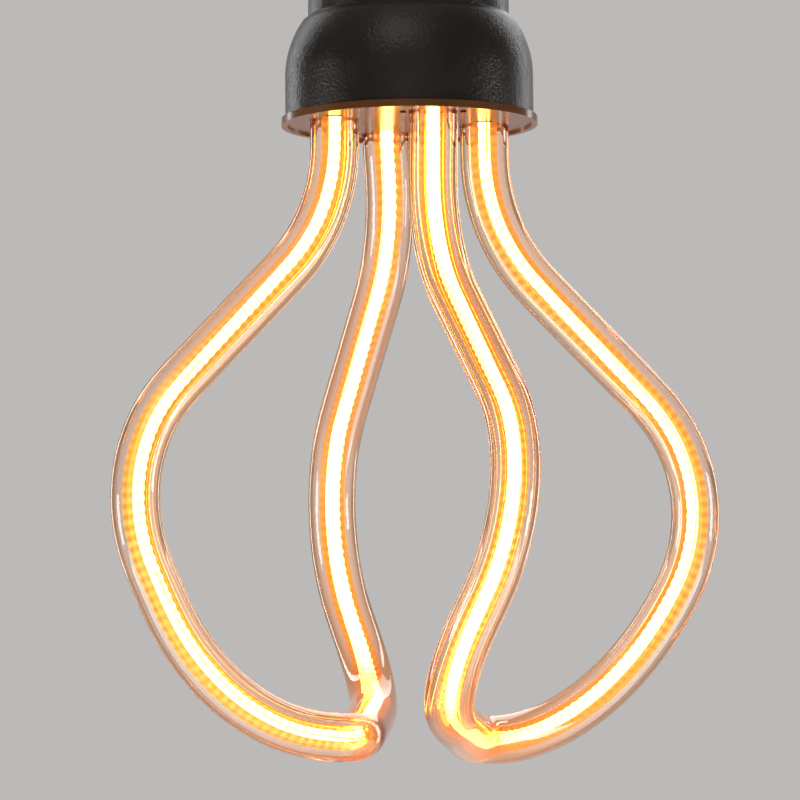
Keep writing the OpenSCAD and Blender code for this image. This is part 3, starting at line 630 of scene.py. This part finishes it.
# Finishes by material slot: name, dark and light tone, least and most roughness, and what else differs
FINISHES = (
    # The plate's amber-brown tone is partly painted glow: it stands in for the strips' orange light on a
    # near-black glossy plate
    ("plate_plastic", "glossy_plate", (0.075, 0.026, 0.006), (0.125, 0.044, 0.01), (0.14, 0.24),
     dict(grain=700, bump=0.1, specular=0.25)),
    ("cap_metal", "nickel_cap", (0.62, 0.62, 0.61), (0.8, 0.8, 0.79), (0.16, 0.3),
     dict(metallic=1.0, grain=500, tone=90, bump=0.12, stretch=4.0, scuffs=0.6)),
    ("insulator", "black_insulator", (0.008, 0.008, 0.01), (0.02, 0.02, 0.022), (0.08, 0.18),
     dict(grain=800, bump=0.1)),
    ("contact_metal", "brass_contact", (0.6, 0.42, 0.18), (0.82, 0.64, 0.34), (0.2, 0.34),
     dict(metallic=1.0, tone=300, scuffs=0.8)),
    ("seal_rubber", "tube_seal", (0.2, 0.1, 0.045), (0.3, 0.16, 0.075), (0.4, 0.6),
     dict(grain=1500, bump=0.3)),
    ("plug_silicone", "end_plug", (0.62, 0.61, 0.57), (0.78, 0.77, 0.73), (0.45, 0.6),
     dict(grain=1200, bump=0.2)),
    ("carrier_film", "amber_film", (0.55, 0.3, 0.08), (0.72, 0.46, 0.16), (0.3, 0.45),
     dict(grain=2000, tone=400)),
    ("light_chips", "light_chip", (0.85, 0.72, 0.36), (0.95, 0.85, 0.5), (0.2, 0.35),
     dict(grain=3000, tone=900)),
    ("terminal_metal", "tinned_tab", (0.55, 0.55, 0.54), (0.74, 0.74, 0.73), (0.28, 0.42),
     dict(metallic=1.0, grain=1500, tone=300)),
    ("board_laminate", "board_mask", (0.015, 0.1, 0.04), (0.03, 0.17, 0.07), (0.28, 0.4),
     dict(grain=2600, tone=150, bump=0.25, coat=0.3)),
    ("capacitor_sleeve", "shrunk_sleeve", (0.02, 0.035, 0.08), (0.035, 0.06, 0.13), (0.22, 0.34),
     dict(grain=700)),
    ("film_resin", "dipped_resin", (0.4, 0.08, 0.03), (0.55, 0.15, 0.06), (0.2, 0.32),
     dict(grain=500, bump=0.3)),
    ("ferrite", "ferrite_core", (0.03, 0.03, 0.033), (0.07, 0.07, 0.075), (0.55, 0.75),
     dict(grain=2200, bump=0.4)),
    ("copper_wire", "enamelled_copper", (0.5, 0.17, 0.06), (0.75, 0.34, 0.14), (0.22, 0.34),
     dict(metallic=1.0, grain=1200, stretch=9.0)),
    ("resistor_coat", "resistor_lacquer", (0.08, 0.24, 0.32), (0.14, 0.36, 0.46), (0.3, 0.42),
     dict(grain=1500)),
    ("chip_resin", "moulded_resin", (0.012, 0.012, 0.012), (0.03, 0.03, 0.03), (0.5, 0.68),
     dict(grain=2600, bump=0.35)),
    ("live_insulation", "red_sleeve", (0.28, 0.015, 0.012), (0.4, 0.035, 0.025), (0.3, 0.42), {}),
    ("neutral_insulation", "blue_sleeve", (0.015, 0.03, 0.24), (0.035, 0.06, 0.36), (0.3, 0.42), {}),
    ("solder", "bright_solder", (0.5, 0.5, 0.52), (0.7, 0.7, 0.72), (0.14, 0.3),
     dict(metallic=1.0, bump=0.3)),
)
# How much lighter than its property's colour the housing's grain gets
HOUSING_LIGHT = 2.2
# How far the rim's colour comes in between two chips, on the smooth and on the beaded coat
SMOOTH_GAP_RIM = 0.1
BEADED_GAP_RIM = 0.16


class LAMP_OT_finishes(bpy.types.Operator):
    """Make every finish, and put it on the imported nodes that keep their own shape"""

    bl_idname = "lamp.finishes"
    bl_label = "Finishes"

    def execute(self, context):
        GROUPS["grain"] = make_grain_group()
        GROUPS["scuffs"] = make_scuff_group()
        c = colours()
        black = tuple(c.housing)
        # Both grain tones keep the housing colour's slight warm cast, which is painted glow of the strips
        MATERIALS["housing_plastic"] = surface(
            "satin_housing", black, tuple(v * HOUSING_LIGHT for v in black), (0.24, 0.36), grain=1500,
            tone=45, bump=0.8, depth=0.16, scuffs=0.35, specular=0.3)
        for slot, name, dark, light, rough, rest in FINISHES:
            MATERIALS[slot] = surface(name, dark, light, rough, **rest)
        core, rim = tuple(c.core), tuple(c.rim)
        MATERIALS["phosphor_coat"] = glow_material("smooth_glow", core, rim, SMOOTH_GAP_RIM)
        MATERIALS["beaded_coat"] = glow_material("beaded_glow", core, rim, BEADED_GAP_RIM)
        MATERIALS["tube_clear"] = tube_material()
        slots = {row["node"]: row["material_slot"] for row in frame["record"]["subparts"]}
        for name, piece in NODES.items():
            piece.data.materials.clear()
            piece.data.materials.append(MATERIALS[slots[name]])
        return {"FINISHED"}


def poly_curve(name, add, count):
    """A new curve with one line of as many points in place of its own"""
    deselect()
    add(location=(0, 0, 0))
    piece = bpy.context.object
    piece.name = name
    piece.data.splines.clear()
    spline = piece.data.splines.new("POLY")
    spline.points.add(count - 1)
    return piece, piece.data, spline


# Steps in each quarter of a tube's round section
ROUND_STEPS = 16


def swept(name, points, radii=None, round_r=0.0, section=None, tilt=0.0):
    """A mesh drawn along points, with a round or a given section"""
    piece, curve, spline = poly_curve(name, bpy.ops.curve.primitive_nurbs_path_add, len(points))
    for p, place, radius in zip(spline.points, points, radii or [1.0] * len(points)):
        p.co = (*place, 1)
        p.radius = radius
        p.tilt = tilt
    curve.dimensions = "3D"
    curve.twist_mode = "MINIMUM"
    curve.use_path = False
    if section is None:
        curve.bevel_depth = round_r
        curve.bevel_resolution = ROUND_STEPS
    else:
        curve.bevel_mode = "OBJECT"
        curve.bevel_object = section
        curve.use_fill_caps = True
    only(piece)
    bpy.ops.object.convert(target="MESH")
    return bpy.context.object


def section_curve(name, outline):
    """A closed flat outline that a strip is drawn with"""
    piece, curve, spline = poly_curve(name, bpy.ops.curve.primitive_bezier_circle_add, len(outline))
    for p, (x, y) in zip(spline.points, outline):
        p.co = (x, y, 0, 1)
    spline.use_cyclic_u = True
    curve.dimensions = "2D"
    curve.fill_mode = "NONE"
    return piece


def paint(piece, name, values):
    """Stores a number for each point of a mesh, for its finish to read"""
    layer = piece.data.attributes.new(name, "FLOAT", "POINT")
    layer.data.foreach_set("value", values)


def nearest_rings(piece, points):
    """For each mesh point, the index of the route's nearest point"""
    tree = KDTree(len(points))
    for i, p in enumerate(points):
        tree.insert(p, i)
    tree.balance()
    return [tree.find(v.co)[1] for v in piece.data.vertices]


def clamped(value):
    return min(1.0, max(0.0, value))


# How far a tube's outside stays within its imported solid
SKIN = 0.01
# Bump that even a straight tube has, as a share of a tight bend's
LEAST_CRINKLE = 0.06
# How far from the strip's middle the painted haze ends, and how steeply it fades
HAZE_REACH = 5.5
HAZE_FALL = 1.8
# How far from the strip's middle its painted reflection begins, and over what length it gains full strength
MIRROR_START = 2.3
MIRROR_EASE = 1.1


class LAMP_OT_tubes(bpy.types.Operator):
    """Model the two bent clear tubes, smooth inside and out"""

    bl_idname = "lamp.tubes"
    bl_label = "Clear tubes"

    def execute(self, context):
        s = sizes()
        for side in ("left", "right"):
            points, bent = route(corners(side, TUBE_TOP), TUBE_STEP * MM)
            strip, _ = route(eased_in(corners(side, TUBE_TOP)), TUBE_STEP * MM)
            tube = swept(side + "_clear_tube", points, round_r=s.tube_diameter / 2 - SKIN * MM)
            tidy_normals(tube)
            thicken(tube, s.tube_wall, even=True)
            places = [v.co for v in tube.data.vertices]
            rings = nearest_rings(tube, points)
            wall_middle = (s.tube_diameter - s.tube_wall) / 2
            bore = [float((co - points[i]).length < wall_middle) for co, i in zip(places, rings)]
            far = [(co - strip[i]).length / MM for co, i in zip(places, nearest_rings(tube, strip))]
            run = run_lengths(points)
            paint(tube, "bent", [LEAST_CRINKLE + bent[i] ** 2 for i in rings])
            # Where the painted haze lies near the strip, and where the painted reflection lies on the bore's
            # far side
            paint(tube, "near_strip", [clamped(1 - d / HAZE_REACH) ** HAZE_FALL for d in far])
            paint(tube, "bore", bore)
            paint(tube, "far_side", [
                b * clamped((d - MIRROR_START) / MIRROR_EASE) for b, d in zip(bore, far)])
            paint(tube, "along", [run[i] / s.bead_pitch for i in rings])
            finish_piece(tube, "tube_clear", side + "_tube", sharp=40)
        return {"FINISHED"}


def first_side(side):
    """Sideways direction of a strip at the top of its first leg"""
    a = math.radians(CAGE_TURN + (0 if side == "left" else 180))
    return Vector((-math.sin(a), math.cos(a), 0))


def carried_sides(points, side):
    """The strip's sideways direction at each point, carried along without twist"""
    out = [side]
    for before, here, after in zip(points, points[1:], points[2:]):
        turn = (here - before).rotation_difference(after - here)
        out.append(turn @ out[-1])
    return out + [out[-1]]


# Distance within which a point counts as on the probe's first section
PROBE_SLACK = 0.01


def measured_tilt(points, side, section):
    """Tilt that turns a curve's section to the wanted sideways direction"""
    probe = swept("probe", points[:3], section=section)
    ahead = (points[1] - points[0]).normalized()
    offsets = [v.co - points[0] for v in probe.data.vertices]
    ring = [o for o in offsets if abs(o.dot(ahead)) < PROBE_SLACK * MM]
    far = max(ring, key=lambda o: o.length).normalized()
    bpy.data.objects.remove(probe)
    return math.atan2(far.cross(side).dot(ahead), far.dot(side))


def glow_place(aside, far, half, film, height):
    """How far round a coat's surface a point lies, from the middle of its face to the film"""
    aside = min(1.0, abs(aside))
    up = math.sqrt(max(0.0, far ** 2 - (aside * half) ** 2))
    return 0.5 * aside + 0.5 * clamped(1 - (up - film) / height)


# A long arrow that points sideways, in metres, to find how a curve turns its sections
ARROW = ((0.004, 0), (-0.001, 0.0005), (-0.001, -0.0005))
# How far the beaded coat's sides stand back from the film's, and the size of its eased corners
SLAB_INSET = 0.1
SLAB_EDGE = 0.16
# Half the share of its size that the beaded coat loses between two beads
BEAD_SWING = 0.06
# Steps from the top of the dome to either side
DOME_STEPS = 8


def dome_outline(half, film, coat):
    """Section of the smooth coat, with X sideways and Y away from the inside of the cage"""
    dome_r = (half ** 2 + coat ** 2) / (2 * coat)
    reach = math.asin(half / dome_r)
    hill = [reach * (1 - k / DOME_STEPS) for k in range(2 * DOME_STEPS + 1)]
    return [(half, -film)] + [
        (dome_r * math.sin(a), film + coat - dome_r * (1 - math.cos(a))) for a in hill] + [(-half, -film)]


def slab_outline(half, film, coat):
    """Section of the beaded coat on the same axes, flat with eased corners"""
    e = SLAB_EDGE * MM
    edge = half - SLAB_INSET * MM
    top = film + coat
    right = [(edge - 3 * e, -top), (edge - e, e - top), (edge, 2 * e - top), (edge, -film)]
    return [(-x, y) for x, y in reversed(right)] + [(0, -top)] + right


class LAMP_OT_strips(bpy.types.Operator):
    """Model the glowing coats of the strips: one side smooth and domed, the other beaded"""

    bl_idname = "lamp.strips"
    bl_label = "Glowing strips"

    def execute(self, context):
        s = sizes()
        half = s.strip_width / 2
        film = s.strip_sheet / 2
        arrow = section_curve("arrow", ARROW)
        dome = section_curve("dome_outline", dome_outline(half, film, s.outer_coat))
        slab = section_curve("slab_outline", slab_outline(half, film, s.inner_coat))
        for side in ("left", "right"):
            points, _ = route(eased_in(corners(side, COAT_TOP)), STRIP_STEP * MM)
            sides = carried_sides(points, first_side(side))
            tilt = measured_tilt(points, sides[0], arrow)
            wave = [math.cos(2 * math.pi * d / s.bead_pitch) for d in run_lengths(points)]
            beaded = [1 - BEAD_SWING + BEAD_SWING * w for w in wave]
            for word, section, radii, finish, which, height in (
                    ("smooth_glow", dome, None, "phosphor_coat", "outer", s.outer_coat),
                    ("beaded_glow", slab, beaded, "beaded_coat", "inner", s.inner_coat)):
                coat = swept(side + "_" + word, points, radii, section=section, tilt=tilt)
                tidy_normals(coat, STRIP_MERGE)
                rings = nearest_rings(coat, points)
                offsets = [v.co - points[i] for v, i in zip(coat.data.vertices, rings)]
                # From nothing in the middle of the face to one at the film
                paint(coat, "across", [
                    glow_place(o.dot(sides[i]) / half, o.length, half, film, height)
                    for o, i in zip(offsets, rings)])
                paint(coat, "bead_gap", [0.5 - 0.5 * wave[i] for i in rings])
                finish_piece(coat, "phosphor_coat", side + "_" + which + "_phosphor", sharp=50, finish=finish)
        for helper in (arrow, dome, slab):
            bpy.data.objects.remove(helper)
        return {"FINISHED"}


# Housing: skirt, shoulder, neck, the sleeve that carries the screw shell, and the hollow
FOOT_BEVEL = 0.25
SKIRT_HEIGHT = 8.5
SKIRT_RINGS = 5
SKIRT_STEP = 1.65
SHOULDER_R = 20.0
SHOULDER_HEIGHT = 12.3
SHOULDER_STEPS = 14
NECK_R = 20.5
NECK_EDGE = 2.0
NECK_EDGE_STEPS = 6
# Points that ease the shoulder into the neck: out from the neck, and up from the shoulder's top
NECK_ROOT = ((0.35, -0.3), (0.0, 0.15))
LEDGE_R = 12.8
LEDGE_HEIGHT = 4.6
SLEEVE_R = 11.6
SLEEVE_BEVEL = 0.3
SLEEVE_BORE_R = 10.0
ROOF = 2.0
NECK_BORE_R = 18.5
NECK_BORE_BEVEL = 1.5
BOARD_BORE_R = 21.4
BOARD_BORE_RISE = 1.5
PLATE_BORE_R = 23.3
PLATE_BORE_HEIGHT = 8.6


def arc(middle_r, middle_z, radius, angles):
    """Part of a round edge in an outline"""
    return [(middle_r + radius * math.cos(a), middle_z + radius * math.sin(a)) for a in angles]


class LAMP_OT_housing(bpy.types.Operator):
    """Model the bell-shaped housing and its sleeve"""

    bl_idname = "lamp.housing"
    bl_label = "Housing"

    def execute(self, context):
        r, foot, top, sleeve_top = (
            v / MM for v in (HOUSING_R, FLANGE_TOP, HOUSING_TOP, HOUSING_HIGH.z))
        shoulder_foot = foot + SKIRT_HEIGHT
        shoulder_top = shoulder_foot + SHOULDER_HEIGHT
        rise = math.asin(SHOULDER_HEIGHT / SHOULDER_R)
        outside = [(r - FOOT_BEVEL, foot), (r, foot + FOOT_BEVEL)]
        outside += [(r, foot + (k + 1) * SKIRT_STEP) for k in range(SKIRT_RINGS)]
        outside += arc(r - SHOULDER_R, shoulder_foot, SHOULDER_R,
                       [rise * k / SHOULDER_STEPS for k in range(1, SHOULDER_STEPS)])
        outside += [(NECK_R + out, shoulder_top + up) for out, up in NECK_ROOT]
        outside += [(NECK_R, top - NECK_EDGE)]
        outside += arc(NECK_R - NECK_EDGE, top - NECK_EDGE, NECK_EDGE,
                       [math.radians(90 / NECK_EDGE_STEPS * (k + 1)) for k in range(NECK_EDGE_STEPS)])
        sleeve = [
            (LEDGE_R, top), (LEDGE_R, top + LEDGE_HEIGHT), (SLEEVE_R, top + LEDGE_HEIGHT),
            (SLEEVE_R, sleeve_top - SLEEVE_BEVEL), (SLEEVE_R - SLEEVE_BEVEL, sleeve_top),
            (SLEEVE_BORE_R, sleeve_top), (SLEEVE_BORE_R, top - ROOF)]
        inside = [
            (NECK_BORE_R - NECK_BORE_BEVEL, top - ROOF), (NECK_BORE_R, top - ROOF - NECK_BORE_BEVEL),
            (NECK_BORE_R, shoulder_top), (BOARD_BORE_R, shoulder_foot + BOARD_BORE_RISE),
            (BOARD_BORE_R, foot + PLATE_BORE_HEIGHT), (PLATE_BORE_R, foot + PLATE_BORE_HEIGHT),
            (PLATE_BORE_R, foot)]
        outline = outside + sleeve + inside + outside[:1]
        housing = lathe("satin_housing", outline, HOUSING_SIDES)
        finish_piece(housing, "housing_plastic", "housing", sharp=35)
        return {"FINISHED"}


# Screw shell: radii of the thread's crests and roots, its levels, and how far its ends are cut back
CREST_R = 13.1
ROOT_R = 12.15
THREAD_TOP = -7.6
THREAD_FOOT = -21.9
THREAD_CUT = 0.6
THREAD_TURNS = 6
WAVE_POINTS = 14
SHELL_SHEET = 0.28
# Levels of the crown's lowest and the skirt's highest ring, and the slack for finding their edges
CROWN_FOOT = THREAD_TOP - 0.2
SKIRT_TOP = THREAD_FOOT + 0.35
RING_SLACK = 0.05
CROWN_OUTLINE = (
    (ROOT_R, CROWN_FOOT), (ROOT_R + 0.2, THREAD_TOP + 0.15), (ROOT_R + 0.2, -7.1), (12.0, -6.75),
    (10.9, -5.55), (10.6, -5.35), (10.3, -5.3), (10.05, -5.4), (10.0, -5.6))
# The skirt's foot, with levels above the housing's top
SKIRT_FOOT = (
    (CREST_R, 0.75), (CREST_R + 0.08, 0.55), (CREST_R + 0.3, 0.4), (CREST_R + 0.3, 0.08),
    (CREST_R + 0.2, 0.0), (CREST_R - 0.2, 0.0))


class LAMP_OT_screw_shell(bpy.types.Operator):
    """Model the rolled screw shell: crown, thread, skirt and turned foot"""

    bl_idname = "lamp.screw_shell"
    bl_label = "Screw shell"

    def execute(self, context):
        thread = self.thread(sizes().thread_pitch)
        crown = lathe("crown", CROWN_OUTLINE, CAP_SIDES)
        foot = [(r, HOUSING_TOP / MM + z) for r, z in SKIRT_FOOT]
        skirt = lathe("skirt", [(CREST_R, SKIRT_TOP), (CREST_R, THREAD_FOOT - 0.1)] + foot, CAP_SIDES)
        shell = join("nickel_shell", [thread, crown, skirt])
        self.close_gaps(shell)
        tidy_normals(shell)
        thicken(shell, SHELL_SHEET * MM)
        finish_piece(shell, "cap_metal", "screw_shell", sharp=50)
        return {"FINISHED"}

    def thread(self, pitch):
        """The thread's wave, turned upwards and cut level at both ends"""
        middle, swing = (CREST_R + ROOT_R) / 2, (CREST_R - ROOT_R) / 2
        rise = pitch / MM
        parts = [k / WAVE_POINTS for k in range(WAVE_POINTS + 1)]
        wave = [(middle + swing * math.cos(2 * math.pi * p), THREAD_FOOT - rise + rise * p) for p in parts]
        thread = lathe("nickel_shell", wave, CAP_SIDES, rise=pitch, rounds=THREAD_TURNS)
        only(thread)
        bpy.ops.object.mode_set(mode="EDIT")
        for level, up in ((THREAD_TOP - THREAD_CUT, True), (THREAD_FOOT + THREAD_CUT, False)):
            bpy.ops.mesh.select_all(action="SELECT")
            bpy.ops.mesh.bisect(
                plane_co=(0, 0, level * MM), plane_no=(0, 0, 1), clear_outer=up, clear_inner=not up)
        bpy.ops.object.mode_set(mode="OBJECT")
        return thread

    def close_gaps(self, shell):
        """Bridges the thread's cut ends to the crown above and the skirt below"""
        for low, high in ((THREAD_TOP - THREAD_CUT, CROWN_FOOT), (SKIRT_TOP, THREAD_FOOT + THREAD_CUT)):
            only(shell)
            bpy.ops.object.mode_set(mode="EDIT")
            bpy.ops.mesh.select_mode(type="EDGE")
            bpy.ops.mesh.select_all(action="SELECT")
            bpy.ops.mesh.region_to_loop()
            bpy.ops.object.mode_set(mode="OBJECT")
            mesh = shell.data
            for edge in mesh.edges:
                levels = [mesh.vertices[v].co.z / MM for v in edge.vertices]
                between = low - RING_SLACK < min(levels) and max(levels) < high + RING_SLACK
                edge.select = edge.select and between
            bpy.ops.object.mode_set(mode="EDIT")
            bpy.ops.mesh.bridge_edge_loops(number_cuts=2)
            bpy.ops.object.mode_set(mode="OBJECT")


# Insulator, round the contact's stem and down into the crown
INSULATOR_OUTLINE = (
    (1.2, -1.6), (5.3, -1.6), (5.62, -1.72), (5.9, -2.2), (7.4, -3.6), (9.0, -4.85), (9.55, -5.12),
    (10.0, -5.2), (10.0, -6.8), (11.2, -7.0), (11.2, -8.5), (1.2, -8.5), (1.2, -1.6))
# Centre contact: its pressed disc and the stem below it
CONTACT_OUTLINE = (
    (0, 0), (3.4, 0), (3.9, -0.05), (4.3, -0.25), (4.5, -0.55), (4.5, -1.55), (4.45, -1.6),
    (1.2, -1.6), (1.2, -12.0), (0, -12.0))


class LAMP_OT_cap_top(bpy.types.Operator):
    """Model the insulator and the centre contact on top of the cap"""

    bl_idname = "lamp.cap_top"
    bl_label = "Insulator and contact"

    def execute(self, context):
        for name, outline, slot, replaced in (
                ("black_insulator", INSULATOR_OUTLINE, "insulator", "cap_insulator"),
                ("brass_contact", CONTACT_OUTLINE, "contact_metal", "centre_contact")):
            finish_piece(lathe(name, outline, CAP_SIDES), slot, replaced, sharp=30)
        return {"FINISHED"}


# Stage, all in metres: a pale floor well below the lamp, and soft lamps that aim at the cage's middle
FLOOR_SIZE = 6.0
FLOOR_LEVEL = -0.3
LAMP_AIM = (0, 0, -0.09)
# Each lamp: name, place, width and height, and power in watts
SOFT_LAMPS = (
    ("left_softbox", (-0.8, -0.08, -0.22), (0.2, 0.4), 2.6),
    ("right_softbox", (0.8, -0.08, -0.22), (0.2, 0.4), 2.6),
    ("left_rim_light", (-0.58, 0.62, 0.1), (0.12, 1.0), 2.0),
    ("right_rim_light", (0.58, 0.62, 0.1), (0.12, 1.0), 2.0),
    ("front_softbox", (-0.3, -1.2, 1.1), (0.8, 0.8), 4.0),
    ("back_softbox", (0.3, 1.3, 0.8), (0.8, 0.8), 4.0),
)
# Grey of the even light from all round, and the side cards' tone as a share of the backdrop's
SOFT_LIGHT = 0.5
SIDE_CARD = 0.3
# How far aside a view turns where the cards begin and where they are at their darkest
CARD_SPAN = (0.2, 0.6)
# Photo's camera: distance, how far below level it stands, roll, and in pixels the picture's size and
# the place of a point on the axis
CAMERA_DISTANCE = 1.5
CAMERA_BELOW = math.radians(6.25)
CAMERA_ROLL = math.radians(0.56)
CAMERA_CLIP = (0.05, 20.0)
PIXELS_PER_METRE = 4930.0
PICTURE = 800
AXIS_POINT = (0.0, 0.0, PLATE_FACE - 65 * MM)
AXIS_POINT_IN_PICTURE = (412.6, 440.05)
# Width of the camera's sensor in mm
SENSOR = 36.0


class LAMP_OT_stage(bpy.types.Operator):
    """Set the floor, the soft lamps, the pale world and the camera"""

    bl_idname = "lamp.stage"
    bl_label = "Stage"

    def execute(self, context):
        self.floor()
        self.lamps()
        self.world()
        self.camera()
        context.scene.view_settings.view_transform = "Standard"
        return {"FINISHED"}

    def floor(self):
        deselect()
        bpy.ops.mesh.primitive_plane_add(size=FLOOR_SIZE, location=(0, 0, FLOOR_LEVEL))
        floor = bpy.context.object
        floor.name = "floor"
        floor.data.transform(floor.matrix_world)
        floor.matrix_world = Matrix.Identity(4)
        material, tree, shader = new_material("pale_floor")
        tone = group_node(tree, "grain", Scale=40.0, Tone_scale=3.0)["Tone"]
        feed_all(tree, shader, {
            "Base Color": toned(tree, tone, (0.74, 0.73, 0.72), (0.78, 0.77, 0.76)), "Roughness": 0.9})
        floor.data.materials.append(material)

    def lamps(self):
        for name, place, size, power in SOFT_LAMPS:
            deselect()
            bpy.ops.object.light_add(type="AREA", location=place)
            lamp = bpy.context.object
            lamp.name = name
            lamp.data.shape = "RECTANGLE"
            lamp.data.size, lamp.data.size_y = size
            lamp.data.energy = power
            lamp.visible_transmission = False
            aim = Vector(LAMP_AIM) - Vector(place)
            lamp.rotation_euler = aim.to_track_quat("-Z", "Y").to_euler()

    def world(self):
        """Even light from all round, and a pale backdrop"""
        world = bpy.data.worlds.new("pale_world")
        bpy.context.scene.world = world
        world.use_nodes = True
        tree = world.node_tree
        backdrop = tuple(colours().backdrop)
        shown = tree.nodes["Background"]
        shown.inputs["Color"].default_value = (*backdrop, 1)
        # What gloss shows: the backdrop, with a soft dark card on either side
        ways = tree.nodes.new("ShaderNodeTexCoord")
        split = node(tree, "ShaderNodeSeparateXYZ", Vector=ways.outputs["Generated"])
        aside = maths(tree, "ABSOLUTE", split.outputs["X"])
        card = tuple(v * SIDE_CARD for v in backdrop)
        cards = ramp(tree, aside, list(zip(CARD_SPAN, (backdrop, card))))
        around = node(tree, "ShaderNodeBackground", Color=cards)
        soft = node(tree, "ShaderNodeBackground", Color=(SOFT_LIGHT, SOFT_LIGHT, SOFT_LIGHT, 1))
        ray = tree.nodes.new("ShaderNodeLightPath").outputs
        glossy = mixed(tree, ray["Is Glossy Ray"], soft.outputs[0], around.outputs[0])
        seen = maths(tree, "MAXIMUM", ray["Is Camera Ray"], ray["Is Transmission Ray"])
        feed(tree, tree.nodes["World Output"].inputs["Surface"], mixed(tree, seen, glossy, shown.outputs[0]))

    def camera(self):
        """Looks up at the lamp as the photo does"""
        point = Vector(AXIS_POINT)
        back = Vector((0, -math.cos(CAMERA_BELOW), -math.sin(CAMERA_BELOW)))
        level_up = Vector((0, -math.sin(CAMERA_BELOW), math.cos(CAMERA_BELOW)))
        level_right = Vector((1, 0, 0))
        right = math.cos(CAMERA_ROLL) * level_right - math.sin(CAMERA_ROLL) * level_up
        up = math.sin(CAMERA_ROLL) * level_right + math.cos(CAMERA_ROLL) * level_up
        across = (PICTURE / 2 - AXIS_POINT_IN_PICTURE[0]) / PIXELS_PER_METRE
        over = (AXIS_POINT_IN_PICTURE[1] - PICTURE / 2) / PIXELS_PER_METRE
        place = point + back * CAMERA_DISTANCE
        aim = (point + right * across + up * over - place).normalized()
        side = aim.cross(up).normalized()
        upright = side.cross(aim)
        bpy.ops.object.camera_add(location=(0, 0, 0))
        camera = bpy.context.object
        camera.name = "photo_camera"
        turned = Matrix((side, upright, -aim)).transposed().to_4x4()
        camera.matrix_world = Matrix.Translation(place) @ turned
        camera.data.sensor_width = SENSOR
        camera.data.lens = SENSOR * PIXELS_PER_METRE * CAMERA_DISTANCE / PICTURE
        camera.data.clip_start, camera.data.clip_end = CAMERA_CLIP
        bpy.context.scene.camera = camera


class LAMP_PT_panel(bpy.types.Panel):
    """Lists the lamp's steps, sizes and colours"""

    bl_label = "Lamp"
    bl_space_type = "VIEW_3D"
    bl_region_type = "UI"
    bl_category = "Lamp"

    def draw(self, context):
        for step in STEPS:
            self.layout.operator(step.bl_idname)
        for group in (sizes(), colours()):
            box = self.layout.box()
            for name in group.bl_rna.properties.keys():
                if name not in ("rna_type", "name"):
                    box.prop(group, name)


STEPS = (LAMP_OT_finishes, LAMP_OT_tubes, LAMP_OT_strips, LAMP_OT_housing, LAMP_OT_screw_shell,
         LAMP_OT_cap_top, LAMP_OT_stage)
CLASSES = (LampSizes, LampColours, *STEPS, LAMP_PT_panel)


def register():
    for c in CLASSES:
        bpy.utils.register_class(c)
    bpy.types.Scene.lamp_sizes = bpy.props.PointerProperty(type=LampSizes)
    bpy.types.Scene.lamp_colours = bpy.props.PointerProperty(type=LampColours)


def unregister():
    del bpy.types.Scene.lamp_colours
    del bpy.types.Scene.lamp_sizes
    for c in reversed(CLASSES):
        bpy.utils.unregister_class(c)


def main():
    register()
    bpy.ops.lamp.finishes()
    bpy.ops.lamp.tubes()
    bpy.ops.lamp.strips()
    bpy.ops.lamp.housing()
    bpy.ops.lamp.screw_shell()
    bpy.ops.lamp.cap_top()
    bpy.ops.lamp.stage()


if __name__ == "__main__":
    main()
